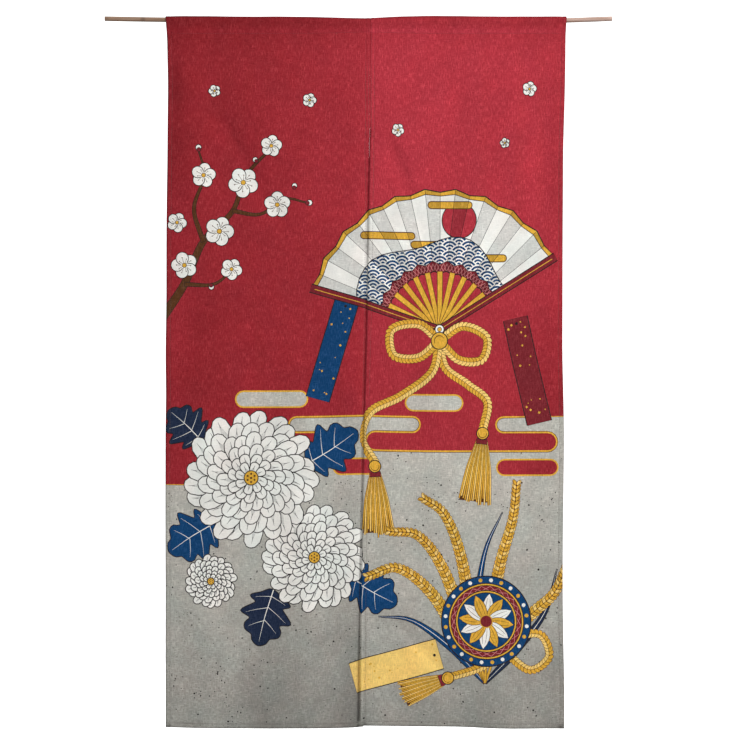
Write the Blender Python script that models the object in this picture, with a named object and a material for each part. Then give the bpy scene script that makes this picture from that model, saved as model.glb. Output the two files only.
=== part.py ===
"""A noren, the split curtain of a doorway: two cloth panels hung on a thin wooden rod.

Metres, +Z up. X runs along the rod and the printed face looks along -Y. The origin is
midway between the centres of the rod's two end faces. The tables below are in
millimetres: a drop is measured down from the origin's level, and x from the origin.
"""

from collections import namedtuple
from math import cos, pi, sin

import bmesh
import bpy
import numpy as np

MM = 0.001

# Cloth
CLOTH = 1.2  # thickness of the sheet
HEM_EXTRA = 0.8  # what a turned hem adds behind the sheet
HEM_WIDTH = 10.0
HEM_STEP = 1.5  # width of the slope from hem to sheet
TURN_IN = 6.0  # the pocket's turned edge, below its line of stitches
PUCKER = 0.4  # how far the pocket's stitches draw the cloth in and out
PUCKER_PITCH = 90.0
PUCKER_REACH = 14.0  # above and below the stitches
SEAM_GAP = 0.6  # between the two panels where they are sewn together

# Rod and its pocket
ROD_LENGTH = 1070.0
ROD_RADIUS = 5.0
ROD_CLEARANCE = 0.6  # between the rod and the widest part of the pocket
POCKET_BULGE = 0.85  # 1 would run straight from the stitches to the rod, and less bulges
ROD_SIDES = 16
ROD_RINGS = 23

# Mesh steps
COLUMNS = 20  # across a panel, between its side hems
ROWS = 24  # down a panel, between the pocket and the bottom hem
LOOP_SIDE = 4  # steps up each side of the pocket, below the rod's centre
LOOP_TOP = 6  # steps over the rod
PROBE = 1e-3  # step for reading the slope of the sheet
SHARP_FROM = pi / 5  # angle between faces past which an edge shows

# The rod bows under the cloth: its centreline's height at places along it.
RodPoint = namedtuple("RodPoint", "x height")
ROD_BOW = (
    RodPoint(-535, 0.0),
    RodPoint(-409, -2.2),
    RodPoint(-200, -4.6),
    RodPoint(9, -6.1),
    RodPoint(230, -5.7),
    RodPoint(444, -3.3),
    RodPoint(535, 0.0),
)

# Top edge of the pocket, which stands up off the rod unevenly, and its line of stitches.
Pocket = namedtuple("Pocket", "x top stitch")
POCKET = (
    Pocket(-406, 5.2, -30.6),
    Pocket(-330, 5.7, -31.2),
    Pocket(-250, 4.6, -31.4),
    Pocket(-120, 4.2, -31.0),
    Pocket(-59, 3.0, -30.2),
    Pocket(-6, 1.6, -28.8),
    Pocket(22, 1.2, -28.4),
    Pocket(42, 2.4, -28.8),
    Pocket(68, 4.1, -29.6),
    Pocket(130, 5.7, -30.8),
    Pocket(163, 6.0, -31.2),
    Pocket(250, 5.1, -31.4),
    Pocket(438, 4.8, -31.0),
)

# The four upright edges. The slit leans to the left on its way down.
Edges = namedtuple("Edges", "drop outer_left inner_left inner_right outer_right")
EDGES = (
    Edges(-6, -406.5, 25.0, 25.0, 438.6),
    Edges(35, -403.8, 25.0, 25.0, 436.9),
    Edges(90, -402.8, 24.6, 24.6, 436.2),
    Edges(150, -402.6, 24.2, 24.2, 435.2),
    Edges(215, -403.2, 24.3, 24.3, 433.4),
    Edges(240, -403.4, 24.0, 24.0, 432.7),
    Edges(268, -403.6, 22.8, 22.9, 431.9),
    Edges(300, -403.8, 23.4, 23.3, 431.5),
    Edges(345, -403.9, 24.0, 22.4, 431.3),
    Edges(470, -404.7, 23.5, 20.6, 430.6),
    Edges(595, -404.9, 22.4, 18.6, 430.2),
    Edges(720, -406.3, 20.0, 15.4, 430.3),
    Edges(785, -405.6, 18.6, 13.6, 431.8),
    Edges(880, -406.6, 16.8, 11.4, 433.4),
    Edges(975, -406.8, 15.0, 9.6, 432.4),
    Edges(1100, -406.7, 13.0, 7.5, 430.9),
    Edges(1225, -406.4, 11.6, 6.3, 430.8),
    Edges(1355, -406.6, 10.6, 5.3, 433.0),
    Edges(1420, -406.2, 10.2, 4.8, 434.2),
    Edges(1500, -406.4, 10.0, 4.4, 433.8),
)

# Below the seam the left panel's edge falls back behind the right panel's edge.
Slit = namedtuple("Slit", "drop left_back right_forward")
SLIT = (
    Slit(225, 0.0, 0.0),
    Slit(268, 0.9, 0.1),
    Slit(345, 2.4, 0.6),
    Slit(595, 2.5, 0.6),
    Slit(1000, 2.8, 0.8),
    Slit(1250, 5.4, 1.4),
    Slit(1500, 8.6, 2.2),
)
SLIT_ROLL = 15.0  # how far from the edge the cloth starts to turn

# Bottom edge of each panel, by the share of its width from its left side.
Hemline = namedtuple("Hemline", "share left right")
HEMLINE = (
    Hemline(0.0, 1493.8, 1490.6),
    Hemline(0.15, 1495.4, 1491.4),
    Hemline(0.35, 1496.9, 1492.5),
    Hemline(0.5, 1497.2, 1493.2),
    Hemline(0.65, 1496.5, 1495.8),
    Hemline(0.85, 1495.9, 1496.9),
    Hemline(1.0, 1494.2, 1497.0),
)

# Soft folds. Each runs from one place to another and stands out by its height, or is a
# trough where that is negative.
Fold = namedtuple("Fold", "x_high x_low drop_high drop_low half_width height")
FOLDS = (
    Fold(-408, -408, 20, 420, 30, -5.0),
    Fold(-348, -340, 40, 460, 30, 3.0),
    Fold(-333, -122, 150, 500, 24, -3.4),
    Fold(-230, -160, 60, 330, 50, 2.6),
    Fold(-60, -70, 70, 420, 42, -2.4),
    Fold(53, 152, 230, 500, 18, -3.2),
    Fold(30, 124, 490, 640, 16, -2.8),
    Fold(66, 84, 90, 300, 34, 2.4),
    Fold(331, 300, 50, 380, 52, 3.6),
    Fold(386, 392, 50, 470, 30, -3.2),
    Fold(205, 190, 60, 480, 46, -2.2),
    Fold(-302, -290, 430, 960, 58, 4.2),
    Fold(-100, -58, 480, 1000, 44, -3.4),
    Fold(-380, -372, 540, 960, 28, -2.4),
    Fold(-190, -215, 620, 1240, 52, -3.2),
    Fold(-345, -345, 820, 1620, 44, 3.4),
    Fold(-240, -230, 1120, 1640, 50, -3.8),
    Fold(-112, -100, 900, 1640, 44, 3.8),
    Fold(70, 60, 640, 1150, 30, 2.6),
    Fold(173, 186, 560, 1180, 66, 4.2),
    Fold(363, 352, 560, 1200, 46, -3.4),
    Fold(74, 232, 1250, 1440, 24, -3.2),
    Fold(292, 310, 1130, 1640, 62, 5.0),
    Fold(398, 402, 1240, 1640, 30, -2.4),
)
FOLD_FADE = 0.3  # share of a fold's length over which each end dies away
HANG_START = 36.0  # no fold reaches above this drop
HANG_FULL = 150.0


def smooth_step(start, end, at):
    """0 before start, 1 after end, and a soft rise between them."""
    share = np.clip((at - start) / (end - start), 0.0, 1.0)
    return share * share * (3 - 2 * share)


def along(rows, key, value, at):
    """The named column at each place, on a smooth curve through the table's rows."""
    places = np.array([getattr(row, key) for row in rows], float)
    values = np.array([getattr(row, value) for row in rows], float)
    slopes = np.gradient(values, places)
    at = np.clip(at, places[0], places[-1])
    i = np.clip(np.searchsorted(places, at) - 1, 0, len(rows) - 2)
    step = places[i + 1] - places[i]
    t = (at - places[i]) / step
    rise = 3 * t**2 - 2 * t**3
    bend = (t**3 - 2 * t**2 + t) * slopes[i] + (t**3 - t**2) * slopes[i + 1]
    return values[i] + rise * (values[i + 1] - values[i]) + bend * step


def fold_height(x, drop):
    """How far the soft folds bring the cloth forward."""
    total = np.zeros(np.broadcast(x, drop).shape)
    for fold in FOLDS:
        share = (drop - fold.drop_high) / (fold.drop_low - fold.drop_high)
        middle = fold.x_high + share * (fold.x_low - fold.x_high)
        ends = smooth_step(0, FOLD_FADE, share) * smooth_step(1, 1 - FOLD_FADE, share)
        total += fold.height * ends * np.exp(-(((x - middle) / fold.half_width) ** 2))
    return total * smooth_step(HANG_START, HANG_FULL, drop)


def pucker(x, drop):
    """The ripple that the pocket's stitches leave in the cloth."""
    away = (drop + along(POCKET, "x", "stitch", x)) / PUCKER_REACH
    return PUCKER * np.sin(2 * pi * x / PUCKER_PITCH) * np.exp(-(away**2))


class Panel:
    """One cloth panel, by the share of its width from its left side and by the drop."""

    def __init__(self, side):
        self.side = side

    def edges(self, drop):
        """x of the panel's left and right edge."""
        if self.side == "left":
            inner = along(EDGES, "drop", "inner_left", drop)
            return along(EDGES, "drop", "outer_left", drop), inner - SEAM_GAP / 2
        inner = along(EDGES, "drop", "inner_right", drop)
        return inner + SEAM_GAP / 2, along(EDGES, "drop", "outer_right", drop)

    def x(self, share, drop):
        left, right = self.edges(drop)
        return left + share * (right - left)

    def slit_roll(self, x, drop):
        """How far the cloth beside the slit falls back, or comes forward if negative."""
        left, right = self.edges(drop)
        if self.side == "left":
            depth, away = along(SLIT, "drop", "left_back", drop), right - x
        else:
            depth, away = -along(SLIT, "drop", "right_forward", drop), x - left
        return depth * np.exp(-((away / SLIT_ROLL) ** 2))

    def front(self, share, drop):
        """Points of the printed face below the pocket."""
        x = self.x(share, drop)
        y = -CLOTH - pucker(x, drop) - fold_height(x, drop) + self.slit_roll(x, drop)
        return np.stack([x, y, -drop], axis=-1)

    def thickness(self, share, drop, bottom):
        left, right = self.edges(drop)
        from_side = np.minimum(share, 1 - share) * (right - left)
        from_hem = np.minimum(from_side, bottom - drop)
        return CLOTH + HEM_EXTRA * (1 - smooth_step(HEM_WIDTH, HEM_WIDTH + HEM_STEP, from_hem))

    def rear(self, share, drop, bottom):
        """Points of the rear face, behind front(share, drop) at right angles to it."""
        across = self.front(share + PROBE, drop) - self.front(share - PROBE, drop)
        down = self.front(share, drop + PROBE) - self.front(share, drop - PROBE)
        inward = np.cross(across, down)
        inward /= np.linalg.norm(inward, axis=-1, keepdims=True)
        thickness = self.thickness(share, drop, bottom)[..., None]
        return self.front(share, drop) + inward * thickness

    def shares(self):
        """Where the columns of the mesh stand across the panel."""
        left, right = self.edges(0.0)
        hem = HEM_WIDTH / (right - left)
        flat = (HEM_WIDTH + HEM_STEP) / (right - left)
        inside = np.linspace(flat, 1 - flat, COLUMNS + 1)
        return np.concatenate([[0, hem], inside, [1 - hem, 1]])


def sheet(panel, shares):
    """Front and rear points from the pocket's stitches down, as columns of rows."""
    stitch = -along(POCKET, "x", "stitch", panel.x(shares, 0.0))
    bottom = along(HEMLINE, "share", panel.side, shares)
    turned = stitch + TURN_IN
    first, last = turned + HEM_STEP, bottom - HEM_WIDTH - HEM_STEP
    plain = first[:, None] + np.linspace(0, 1, ROWS + 1) * (last - first)[:, None]
    drops = np.column_stack([stitch, turned, plain, bottom - HEM_WIDTH, bottom])
    share = shares[:, None]
    front = panel.front(share, drops)
    rear = panel.rear(share, drops, bottom[:, None])
    rear[:, :2] = front[:, :2] + np.array([0, 2 * CLOTH, 0])
    return front, rear


def pocket_side(half, rise_to, stitch, rod, closed):
    """Front half of the pocket's section: (y, z) up from the stitches, then over the rod."""
    points = []
    for n in range(1, LOOP_SIDE + 1):
        rise = n / LOOP_SIDE
        points.append((-closed - (half - closed) * rise**POCKET_BULGE, stitch + rise * (rod - stitch)))
    for n in range(1, LOOP_TOP // 2 + 1):
        angle = n / LOOP_TOP * pi
        points.append((-half * cos(angle), rod + rise_to * sin(angle)))
    return points


def pocket(panel, shares):
    """Outer and inner points of the pocket, from the stitches up and over the rod."""
    outer, inner = [], []
    for share in shares:
        x = panel.x(share, 0.0)
        top = along(POCKET, "x", "top", x)
        stitch = along(POCKET, "x", "stitch", x)
        rod = along(ROD_BOW, "x", "height", x)
        clear = ROD_RADIUS + ROD_CLEARANCE
        outside = pocket_side(clear + CLOTH, top - rod, stitch, rod, CLOTH)
        inside = pocket_side(clear, top - rod - CLOTH, stitch, rod, 0.0)
        outside += [(-y, z) for y, z in reversed(outside[:-1])]
        closing = (-pucker(x, -stitch), stitch)
        inside = [closing, *inside, *((-y, z) for y, z in reversed(inside[:-1]))]
        outer.append([(panel.x(share, -z), y, z) for y, z in outside])
        inner.append([(panel.x(share, -z), y, z) for y, z in inside])
    return np.array(outer), np.array(inner)


def sweep(bm, columns):
    """Vertices for rings of points, and the faces between each ring and the next."""
    rings = [[bm.verts.new(point * MM) for point in column] for column in columns]
    for near, far in zip(rings, rings[1:]):
        for i in range(len(near)):
            bm.faces.new((near[i - 1], near[i], far[i], far[i - 1]))
    return rings


def cap_side(bm, ring, hole, sheet_rows):
    """Closes one side of a panel around the pocket's opening."""
    front = ring[sheet_rows - 1 :: -1]
    rear = ring[-sheet_rows:]
    loop = ring[sheet_rows - 1 : len(ring) - sheet_rows + 1]
    closing = hole[0]
    bm.faces.new((front[0], front[1], closing))
    bm.faces.new((front[1], rear[1], closing))
    bm.faces.new((rear[1], rear[0], closing))
    for i in range(1, sheet_rows - 1):
        bm.faces.new((front[i], front[i + 1], rear[i + 1], rear[i]))
    around = [*hole, closing]
    for i in range(len(loop) - 1):
        bm.faces.new((loop[i], loop[i + 1], around[i + 1], around[i]))


def finished(bm, name):
    """The mesh of a closed bmesh, facing out."""
    bmesh.ops.recalc_face_normals(bm, faces=bm.faces)
    mesh = bpy.data.meshes.new(name)
    bm.to_mesh(mesh)
    bm.free()
    return mesh


def panel_mesh(side):
    """A panel's closed solid: its section, pocket and sheet, swept across its width."""
    panel = Panel(side)
    shares = panel.shares()
    front, rear = sheet(panel, shares)
    outer, inner = pocket(panel, shares)
    bm = bmesh.new()
    rings = sweep(bm, np.concatenate([front[:, ::-1], outer, rear], axis=1))
    holes = sweep(bm, inner)
    for end in (0, -1):
        cap_side(bm, rings[end], holes[end], front.shape[1])
    return finished(bm, f"panel_{side}")


def rod_mesh():
    """A bowed dowel whose two end faces are square to X."""
    x = np.linspace(-ROD_LENGTH / 2, ROD_LENGTH / 2, ROD_RINGS)[:, None]
    angle = 2 * pi * np.arange(ROD_SIDES) / ROD_SIDES
    height = along(ROD_BOW, "x", "height", x)
    around = np.broadcast_arrays(x, ROD_RADIUS * np.cos(angle), height + ROD_RADIUS * np.sin(angle))
    bm = bmesh.new()
    rings = sweep(bm, np.stack(around, axis=-1))
    for end in (0, -1):
        bm.faces.new(rings[end])
    return finished(bm, "rod")


def material(name, colour, roughness):
    """A plain Principled material."""
    made = bpy.data.materials.new(name)
    made.use_nodes = True
    shader = made.node_tree.nodes["Principled BSDF"]
    shader.inputs["Base Color"].default_value = (*colour, 1.0)
    shader.inputs["Roughness"].default_value = roughness
    shader.inputs["Metallic"].default_value = 0.0
    return made


def add(mesh, look, parent):
    """Places a mesh in the scene, smooth but for its edges."""
    mesh.materials.append(look)
    mesh.shade_smooth()
    mesh.set_sharp_from_angle(angle=SHARP_FROM)
    placed = bpy.data.objects.new(mesh.name, mesh)
    placed.parent = parent
    bpy.context.scene.collection.objects.link(placed)


def main():
    for old in list(bpy.data.objects):
        bpy.data.objects.remove(old)
    curtain = bpy.data.objects.new("curtain", None)
    bpy.context.scene.collection.objects.link(curtain)
    crimson_left = material("cloth_left", (0.30, 0.030, 0.045), 0.9)
    crimson_right = material("cloth_right", (0.42, 0.045, 0.060), 0.9)
    pale_wood = material("pale_wood", (0.50, 0.34, 0.21), 0.6)
    add(panel_mesh("left"), crimson_left, curtain)
    add(panel_mesh("right"), crimson_right, curtain)
    add(rod_mesh(), pale_wood, curtain)


main()
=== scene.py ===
"""A noren: two printed cloth panels, their stitches and the rod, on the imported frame.

Tables are in millimetres. The cloth is laid out flat before it is hung: u runs across
both panels from -430 to 430, and v runs down from the pocket's line of stitches.
"""

from collections import namedtuple
from math import cos, pi, radians, sin

import bpy
import numpy as np
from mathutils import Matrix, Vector
from mathutils.geometry import delaunay_2d_cdt


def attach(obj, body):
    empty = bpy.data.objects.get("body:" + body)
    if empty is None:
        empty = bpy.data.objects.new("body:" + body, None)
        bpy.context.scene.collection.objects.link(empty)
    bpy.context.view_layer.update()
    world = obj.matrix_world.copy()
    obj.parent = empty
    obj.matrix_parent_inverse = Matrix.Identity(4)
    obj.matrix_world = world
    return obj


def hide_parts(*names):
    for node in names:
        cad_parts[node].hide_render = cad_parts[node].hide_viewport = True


MM = 0.001

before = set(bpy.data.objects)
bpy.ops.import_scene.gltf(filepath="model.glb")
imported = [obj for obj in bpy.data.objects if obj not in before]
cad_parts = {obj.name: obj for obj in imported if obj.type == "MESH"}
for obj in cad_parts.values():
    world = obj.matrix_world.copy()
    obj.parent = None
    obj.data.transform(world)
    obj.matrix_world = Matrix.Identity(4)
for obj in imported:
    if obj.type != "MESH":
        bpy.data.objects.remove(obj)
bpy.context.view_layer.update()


def table(columns, *rows):
    """Rows with named columns."""
    row_of = namedtuple("row_of", columns)
    return [row_of(*row) for row in rows]


# ---------------------------------------------------------------- the solids' own sizes
CLOTH = 1.2  # how far the printed face stands in front of the rod's plane
SEAM_GAP = 0.6  # between the panels where they are sewn together
PUCKER = 0.4  # how far the pocket's stitches draw the cloth in and out
PUCKER_PITCH = 90.0
PUCKER_REACH = 14.0  # above and below the stitches
ROD_LENGTH = 1070.0
ROD_RADIUS = 5.0
POCKET_HALF = 6.8  # from the rod's axis to the outside of the pocket
POCKET_BULGE = 0.85  # 1 would run straight from the stitches to the rod, and less bulges
SLIT_ROLL = 15.0  # how far from the slit the cloth starts to turn
FOLD_FADE = 0.3  # share of a fold's length over which each end dies away
HANG_START = 36.0  # no fold reaches above this drop
HANG_FULL = 150.0

# The rod bows under the cloth: its centreline's height at places along it.
ROD_BOW = table(
    "x height",
    (-535, 0.0),
    (-409, -2.2),
    (-200, -4.6),
    (9, -6.1),
    (230, -5.7),
    (444, -3.3),
    (535, 0.0),
)

# Top edge of the pocket, which stands up off the rod unevenly, and its line of stitches.
POCKET = table(
    "x top stitch",
    (-406, 5.2, -30.6),
    (-330, 5.7, -31.2),
    (-250, 4.6, -31.4),
    (-120, 4.2, -31.0),
    (-59, 3.0, -30.2),
    (-6, 1.6, -28.8),
    (22, 1.2, -28.4),
    (42, 2.4, -28.8),
    (68, 4.1, -29.6),
    (130, 5.7, -30.8),
    (163, 6.0, -31.2),
    (250, 5.1, -31.4),
    (438, 4.8, -31.0),
)

# The four upright edges. The slit leans to the left on its way down.
EDGES = table(
    "drop outer_left inner_left inner_right outer_right",
    (-6, -406.5, 25.0, 25.0, 438.6),
    (35, -403.8, 25.0, 25.0, 436.9),
    (90, -402.8, 24.6, 24.6, 436.2),
    (150, -402.6, 24.2, 24.2, 435.2),
    (215, -403.2, 24.3, 24.3, 433.4),
    (240, -403.4, 24.0, 24.0, 432.7),
    (268, -403.6, 22.8, 22.9, 431.9),
    (300, -403.8, 23.4, 23.3, 431.5),
    (345, -403.9, 24.0, 22.4, 431.3),
    (470, -404.7, 23.5, 20.6, 430.6),
    (595, -404.9, 22.4, 18.6, 430.2),
    (720, -406.3, 20.0, 15.4, 430.3),
    (785, -405.6, 18.6, 13.6, 431.8),
    (880, -406.6, 16.8, 11.4, 433.4),
    (975, -406.8, 15.0, 9.6, 432.4),
    (1100, -406.7, 13.0, 7.5, 430.9),
    (1225, -406.4, 11.6, 6.3, 430.8),
    (1355, -406.6, 10.6, 5.3, 433.0),
    (1420, -406.2, 10.2, 4.8, 434.2),
    (1500, -406.4, 10.0, 4.4, 433.8),
)

# Below the seam the left panel's edge falls back behind the right panel's edge.
SLIT = table(
    "drop left_back right_forward",
    (225, 0.0, 0.0),
    (268, 0.9, 0.1),
    (345, 2.4, 0.6),
    (595, 2.5, 0.6),
    (1000, 2.8, 0.8),
    (1250, 5.4, 1.4),
    (1500, 8.6, 2.2),
)

# Bottom edge of each panel, by the share of its width from its left side.
HEMLINE = table(
    "share left right",
    (0.0, 1493.8, 1490.6),
    (0.15, 1495.4, 1491.4),
    (0.35, 1496.9, 1492.5),
    (0.5, 1497.2, 1493.2),
    (0.65, 1496.5, 1495.8),
    (0.85, 1495.9, 1496.9),
    (1.0, 1494.2, 1497.0),
)

# Soft folds. Each runs from one place to another and stands out by its height, or is a
# trough where that is negative.
FOLDS = table(
    "x_high x_low drop_high drop_low half_width height",
    (-408, -408, 20, 420, 30, -5.0),
    (-348, -340, 40, 460, 30, 3.0),
    (-333, -122, 150, 500, 24, -3.4),
    (-230, -160, 60, 330, 50, 2.6),
    (-60, -70, 70, 420, 42, -2.4),
    (53, 152, 230, 500, 18, -3.2),
    (30, 124, 490, 640, 16, -2.8),
    (66, 84, 90, 300, 34, 2.4),
    (331, 300, 50, 380, 52, 3.6),
    (386, 392, 50, 470, 30, -3.2),
    (205, 190, 60, 480, 46, -2.2),
    (-302, -290, 430, 960, 58, 4.2),
    (-100, -58, 480, 1000, 44, -3.4),
    (-380, -372, 540, 960, 28, -2.4),
    (-190, -215, 620, 1240, 52, -3.2),
    (-345, -345, 820, 1620, 44, 3.4),
    (-240, -230, 1120, 1640, 50, -3.8),
    (-112, -100, 900, 1640, 44, 3.8),
    (70, 60, 640, 1150, 30, 2.6),
    (173, 186, 560, 1180, 66, 4.2),
    (363, 352, 560, 1200, 46, -3.4),
    (74, 232, 1250, 1440, 24, -3.2),
    (292, 310, 1130, 1640, 62, 5.0),
    (398, 402, 1240, 1640, 30, -2.4),
)


def smooth_step(start, end, at):
    """0 before start, 1 after end, and a soft rise between them."""
    share = np.clip((at - start) / (end - start), 0.0, 1.0)
    return share * share * (3 - 2 * share)


def bell(away, width):
    """1 at 0, and dying away beyond the width."""
    return np.exp(-((away / width) ** 2))


def along(rows, column, at):
    """The named column at places in the table's first column, on a smooth curve."""
    places = np.array([row[0] for row in rows], float)
    values = np.array([getattr(row, column) for row in rows], float)
    slopes = np.gradient(values, places)
    at = np.clip(at, places[0], places[-1])
    i = np.clip(np.searchsorted(places, at) - 1, 0, len(rows) - 2)
    step = places[i + 1] - places[i]
    t = (at - places[i]) / step
    rise = 3 * t**2 - 2 * t**3
    bend = (t**3 - 2 * t**2 + t) * slopes[i] + (t**3 - t**2) * slopes[i + 1]
    return values[i] + rise * (values[i + 1] - values[i]) + bend * step


def fold_height(x, drop):
    """How far the soft folds bring the cloth forward."""
    total = np.zeros(np.broadcast(x, drop).shape)
    for fold in FOLDS:
        share = (drop - fold.drop_high) / (fold.drop_low - fold.drop_high)
        middle = fold.x_high + share * (fold.x_low - fold.x_high)
        ends = smooth_step(0, FOLD_FADE, share) * smooth_step(1, 1 - FOLD_FADE, share)
        total += fold.height * ends * bell(x - middle, fold.half_width)
    return total * smooth_step(HANG_START, HANG_FULL, drop)


def pucker(x, away):
    """The ripple that the pocket's stitches leave in the cloth, so far away from them."""
    return PUCKER * np.sin(2 * pi * x / PUCKER_PITCH) * bell(away, PUCKER_REACH)


# ---------------------------------------------------------------- the print
INKS = table(
    "name red green blue",
    ("crimson", 172, 49, 61),
    ("grey", 176, 174, 166),
    ("black", 38, 33, 34),
    ("brown", 84, 50, 26),
    ("white", 239, 238, 232),
    ("pale", 205, 205, 200),
    ("navy", 10, 62, 108),
    ("deep_navy", 30, 42, 66),
    ("gold", 214, 164, 58),
    ("yellow", 240, 202, 116),
    ("maroon", 118, 34, 42),
    ("pink", 196, 122, 122),
)
INK_NUMBER = {ink.name: n for n, ink in enumerate(INKS)}
LINE = 2.0  # the width of the print's outlines
FINE = 1.1
TINY = 1e-9  # a length that only guards a division


def polar(centre, radius, angle):
    """Point at a radius and at an angle in degrees, 0 up and 90 to the right."""
    a = np.radians(angle)
    return np.stack([centre[0] + radius * np.sin(a), centre[1] - radius * np.cos(a)], axis=-1)


def way_of(angle):
    """A step of 1 at an angle, as for polar."""
    return polar((0, 0), 1.0, angle)


def unit(ways):
    """The same directions with a length of 1."""
    return ways / np.maximum(np.linalg.norm(ways, axis=-1, keepdims=True), TINY)


def aside(ways):
    """Ways on a plane, turned by a right angle."""
    return np.stack([-ways[:, 1], ways[:, 0]], axis=-1)


def loop_area(points):
    """Area in a closed outline, negative for one way round."""
    ahead = np.roll(points, -1, axis=0)
    return np.sum(points[:, 0] * ahead[:, 1] - ahead[:, 0] * points[:, 1]) / 2


def grown(points, by):
    """A closed outline moved outwards."""
    way = np.roll(points, -1, axis=0) - np.roll(points, 1, axis=0)
    return points - unit(aside(way)) * by * np.sign(loop_area(points))


def curve(points, step=5.0, closed=False):
    """A smooth line through points, resampled at about step."""
    p = np.asarray(points, float)
    if closed:
        p = np.vstack([p[-1:], p, p[:2]])
    else:
        p = np.vstack([2 * p[0] - p[1], p, 2 * p[-1] - p[-2]])
    out = []
    for a, b, c, d in zip(p, p[1:], p[2:], p[3:]):
        n = max(int(round(np.linalg.norm(c - b) / step)), 1)
        t = np.arange(n)[:, None] / n
        square, cube = 2 * a - 5 * b + 4 * c - d, 3 * b - a - 3 * c + d
        out.append(0.5 * (2 * b + (c - a) * t + square * t**2 + cube * t**3))
    if not closed:
        out.append(p[-2:-1])
    return np.vstack(out)


def both_sides(middle, side, half):
    """Outline that lies half its width to each side of a middle line."""
    return np.vstack([middle + side * half, (middle - side * half)[::-1]])


def stroke(line, widths):
    """Outline of a brush stroke along a line, with its width at even shares of the line."""
    line = np.asarray(line, float)
    half = np.interp(np.linspace(0, 1, len(line)), np.linspace(0, 1, len(widths)), widths)[:, None] / 2
    return both_sides(line, aside(unit(np.gradient(line, axis=0))), half)


def lengths(line):
    """How far along a line each of its points lies."""
    return np.concatenate([[0], np.cumsum(np.linalg.norm(np.diff(line, axis=0), axis=1))])


def on_line(line, at):
    """Points at lengths along a line."""
    run = lengths(line)
    return np.stack([np.interp(at, run, line[:, i]) for i in (0, 1)], axis=-1)


def stops_on(line, at, reach):
    """(point, angle) at lengths along a line. The angle is taken over the reach to each side."""
    ways = on_line(line, at + reach) - on_line(line, at - reach)
    return zip(on_line(line, at), np.degrees(np.arctan2(ways[:, 0], -ways[:, 1])))


class Print:
    """Flat shapes in printing order. A later one covers an earlier one."""

    def __init__(self):
        self.shapes = []  # (points, ink or shade, within)
        self.sizes = []  # the area of each shape, or of what it outlines

    def add(self, points, ink, within=None, size=None):
        points = np.asarray(points, float)
        self.shapes.append((points, ink, within))
        self.sizes.append(abs(loop_area(points)) if size is None else size)

    def outlined(self, points, ink, line=LINE, outline="black", within=None):
        points = np.asarray(points, float)
        self.add(grown(points, line), outline, within, abs(loop_area(points)))
        self.add(points, ink, within)

    def brush(self, line, widths, ink, within=None):
        self.add(stroke(line, widths), ink, within)

    def line(self, start, end, width, ink, within=None):
        self.brush([start, end], (width, width), ink, within)

    def disc(self, centre, radius, ink, line=0.0, outline="black", sides=None, within=None):
        sides = sides or int(np.clip(radius * 0.9 + 8, 8, 64))
        angles = np.arange(sides) * 360 / sides
        ring = polar(centre, radius, angles)
        if line:
            self.add(polar(centre, radius + line, angles), outline, within, abs(loop_area(ring)))
        self.add(ring, ink, within)

    def rings(self, centre, radius, *rings, **settings):
        """Discs on one centre, each with its share of the radius and its ink."""
        for share, ink in rings:
            self.disc(centre, radius * share, ink, **settings)


# share of a petal's length, and share of half its width
PETAL = ((0, 0.2), (0.35, 0.58), (0.62, 0.88), (0.8, 1.0), (0.92, 0.86), (0.985, 0.46), (1.0, 0.08))


def petal(root, angle, length, width, curl=0.0):
    """A long petal that widens to a round tip."""
    share, half = np.array(PETAL).T
    middle = polar(root, length * share, angle + curl * share**2)
    return both_sides(middle, way_of(angle + 90 + 1.6 * curl * share), (half * width / 2)[:, None])


RINGS = table(
    "reach petals width",
    (1.0, 21, 0.27),
    (0.83, 19, 0.25),
    (0.66, 17, 0.22),
    (0.5, 14, 0.18),
    (0.36, 11, 0.15),
    (0.24, 8, 0.12),
)


def chrysanthemum(art, centre, radius, turn=0.0, rings=RINGS):
    """A flower head of several rings of petals."""
    for n, ring in enumerate(rings):
        width = radius * ring.width
        # the next ring hides this share of each petal, and the shade and the fine line reach past it
        hidden = rings[n + 1].reach / ring.reach if n + 1 < len(rings) else 0.5
        shade = (hidden + 0.42 * (1 - hidden)) * np.linspace(0.5, 1, 5)
        tip = np.array([hidden + 0.1 * (1 - hidden), hidden + 0.66 * (1 - hidden)])
        for k in range(ring.petals):
            angle = turn + n * 11 + k * 360 / ring.petals
            reach = radius * ring.reach * (1 + 0.035 * sin(2.7 * k + n))
            curl = 8 + 5 * sin(1.9 * k)
            art.outlined(petal(centre, angle, reach, width, curl), "white")
            vein = polar(centre, reach * shade, angle + curl * shade**2)
            art.brush(vein, (width * 0.5, width * 0.45, 0.5), "pale")
            art.brush(polar(centre, reach * tip, angle + curl * tip**2), (1.3, 0.5), "black")
    art.disc(centre, radius * 0.1, "gold", LINE)
    for k in range(6):
        art.disc(polar(centre, radius * 0.06, k * 60), radius * 0.018, "brown", sides=5)
    art.disc(centre, radius * 0.02, "brown", sides=5)


# share of a leaf's length, and share of its width
LEAF = (
    (0.0, 0.03), (0.10, 0.22), (0.20, 0.40), (0.28, 0.27), (0.38, 0.38), (0.50, 0.50),
    (0.57, 0.30), (0.68, 0.36), (0.78, 0.33), (0.84, 0.18), (0.93, 0.14), (1.0, 0.0),
)
VEINS = table("start end out", (0.12, 0.20, 0.30), (0.32, 0.50, 0.40), (0.55, 0.72, 0.28))


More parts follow.
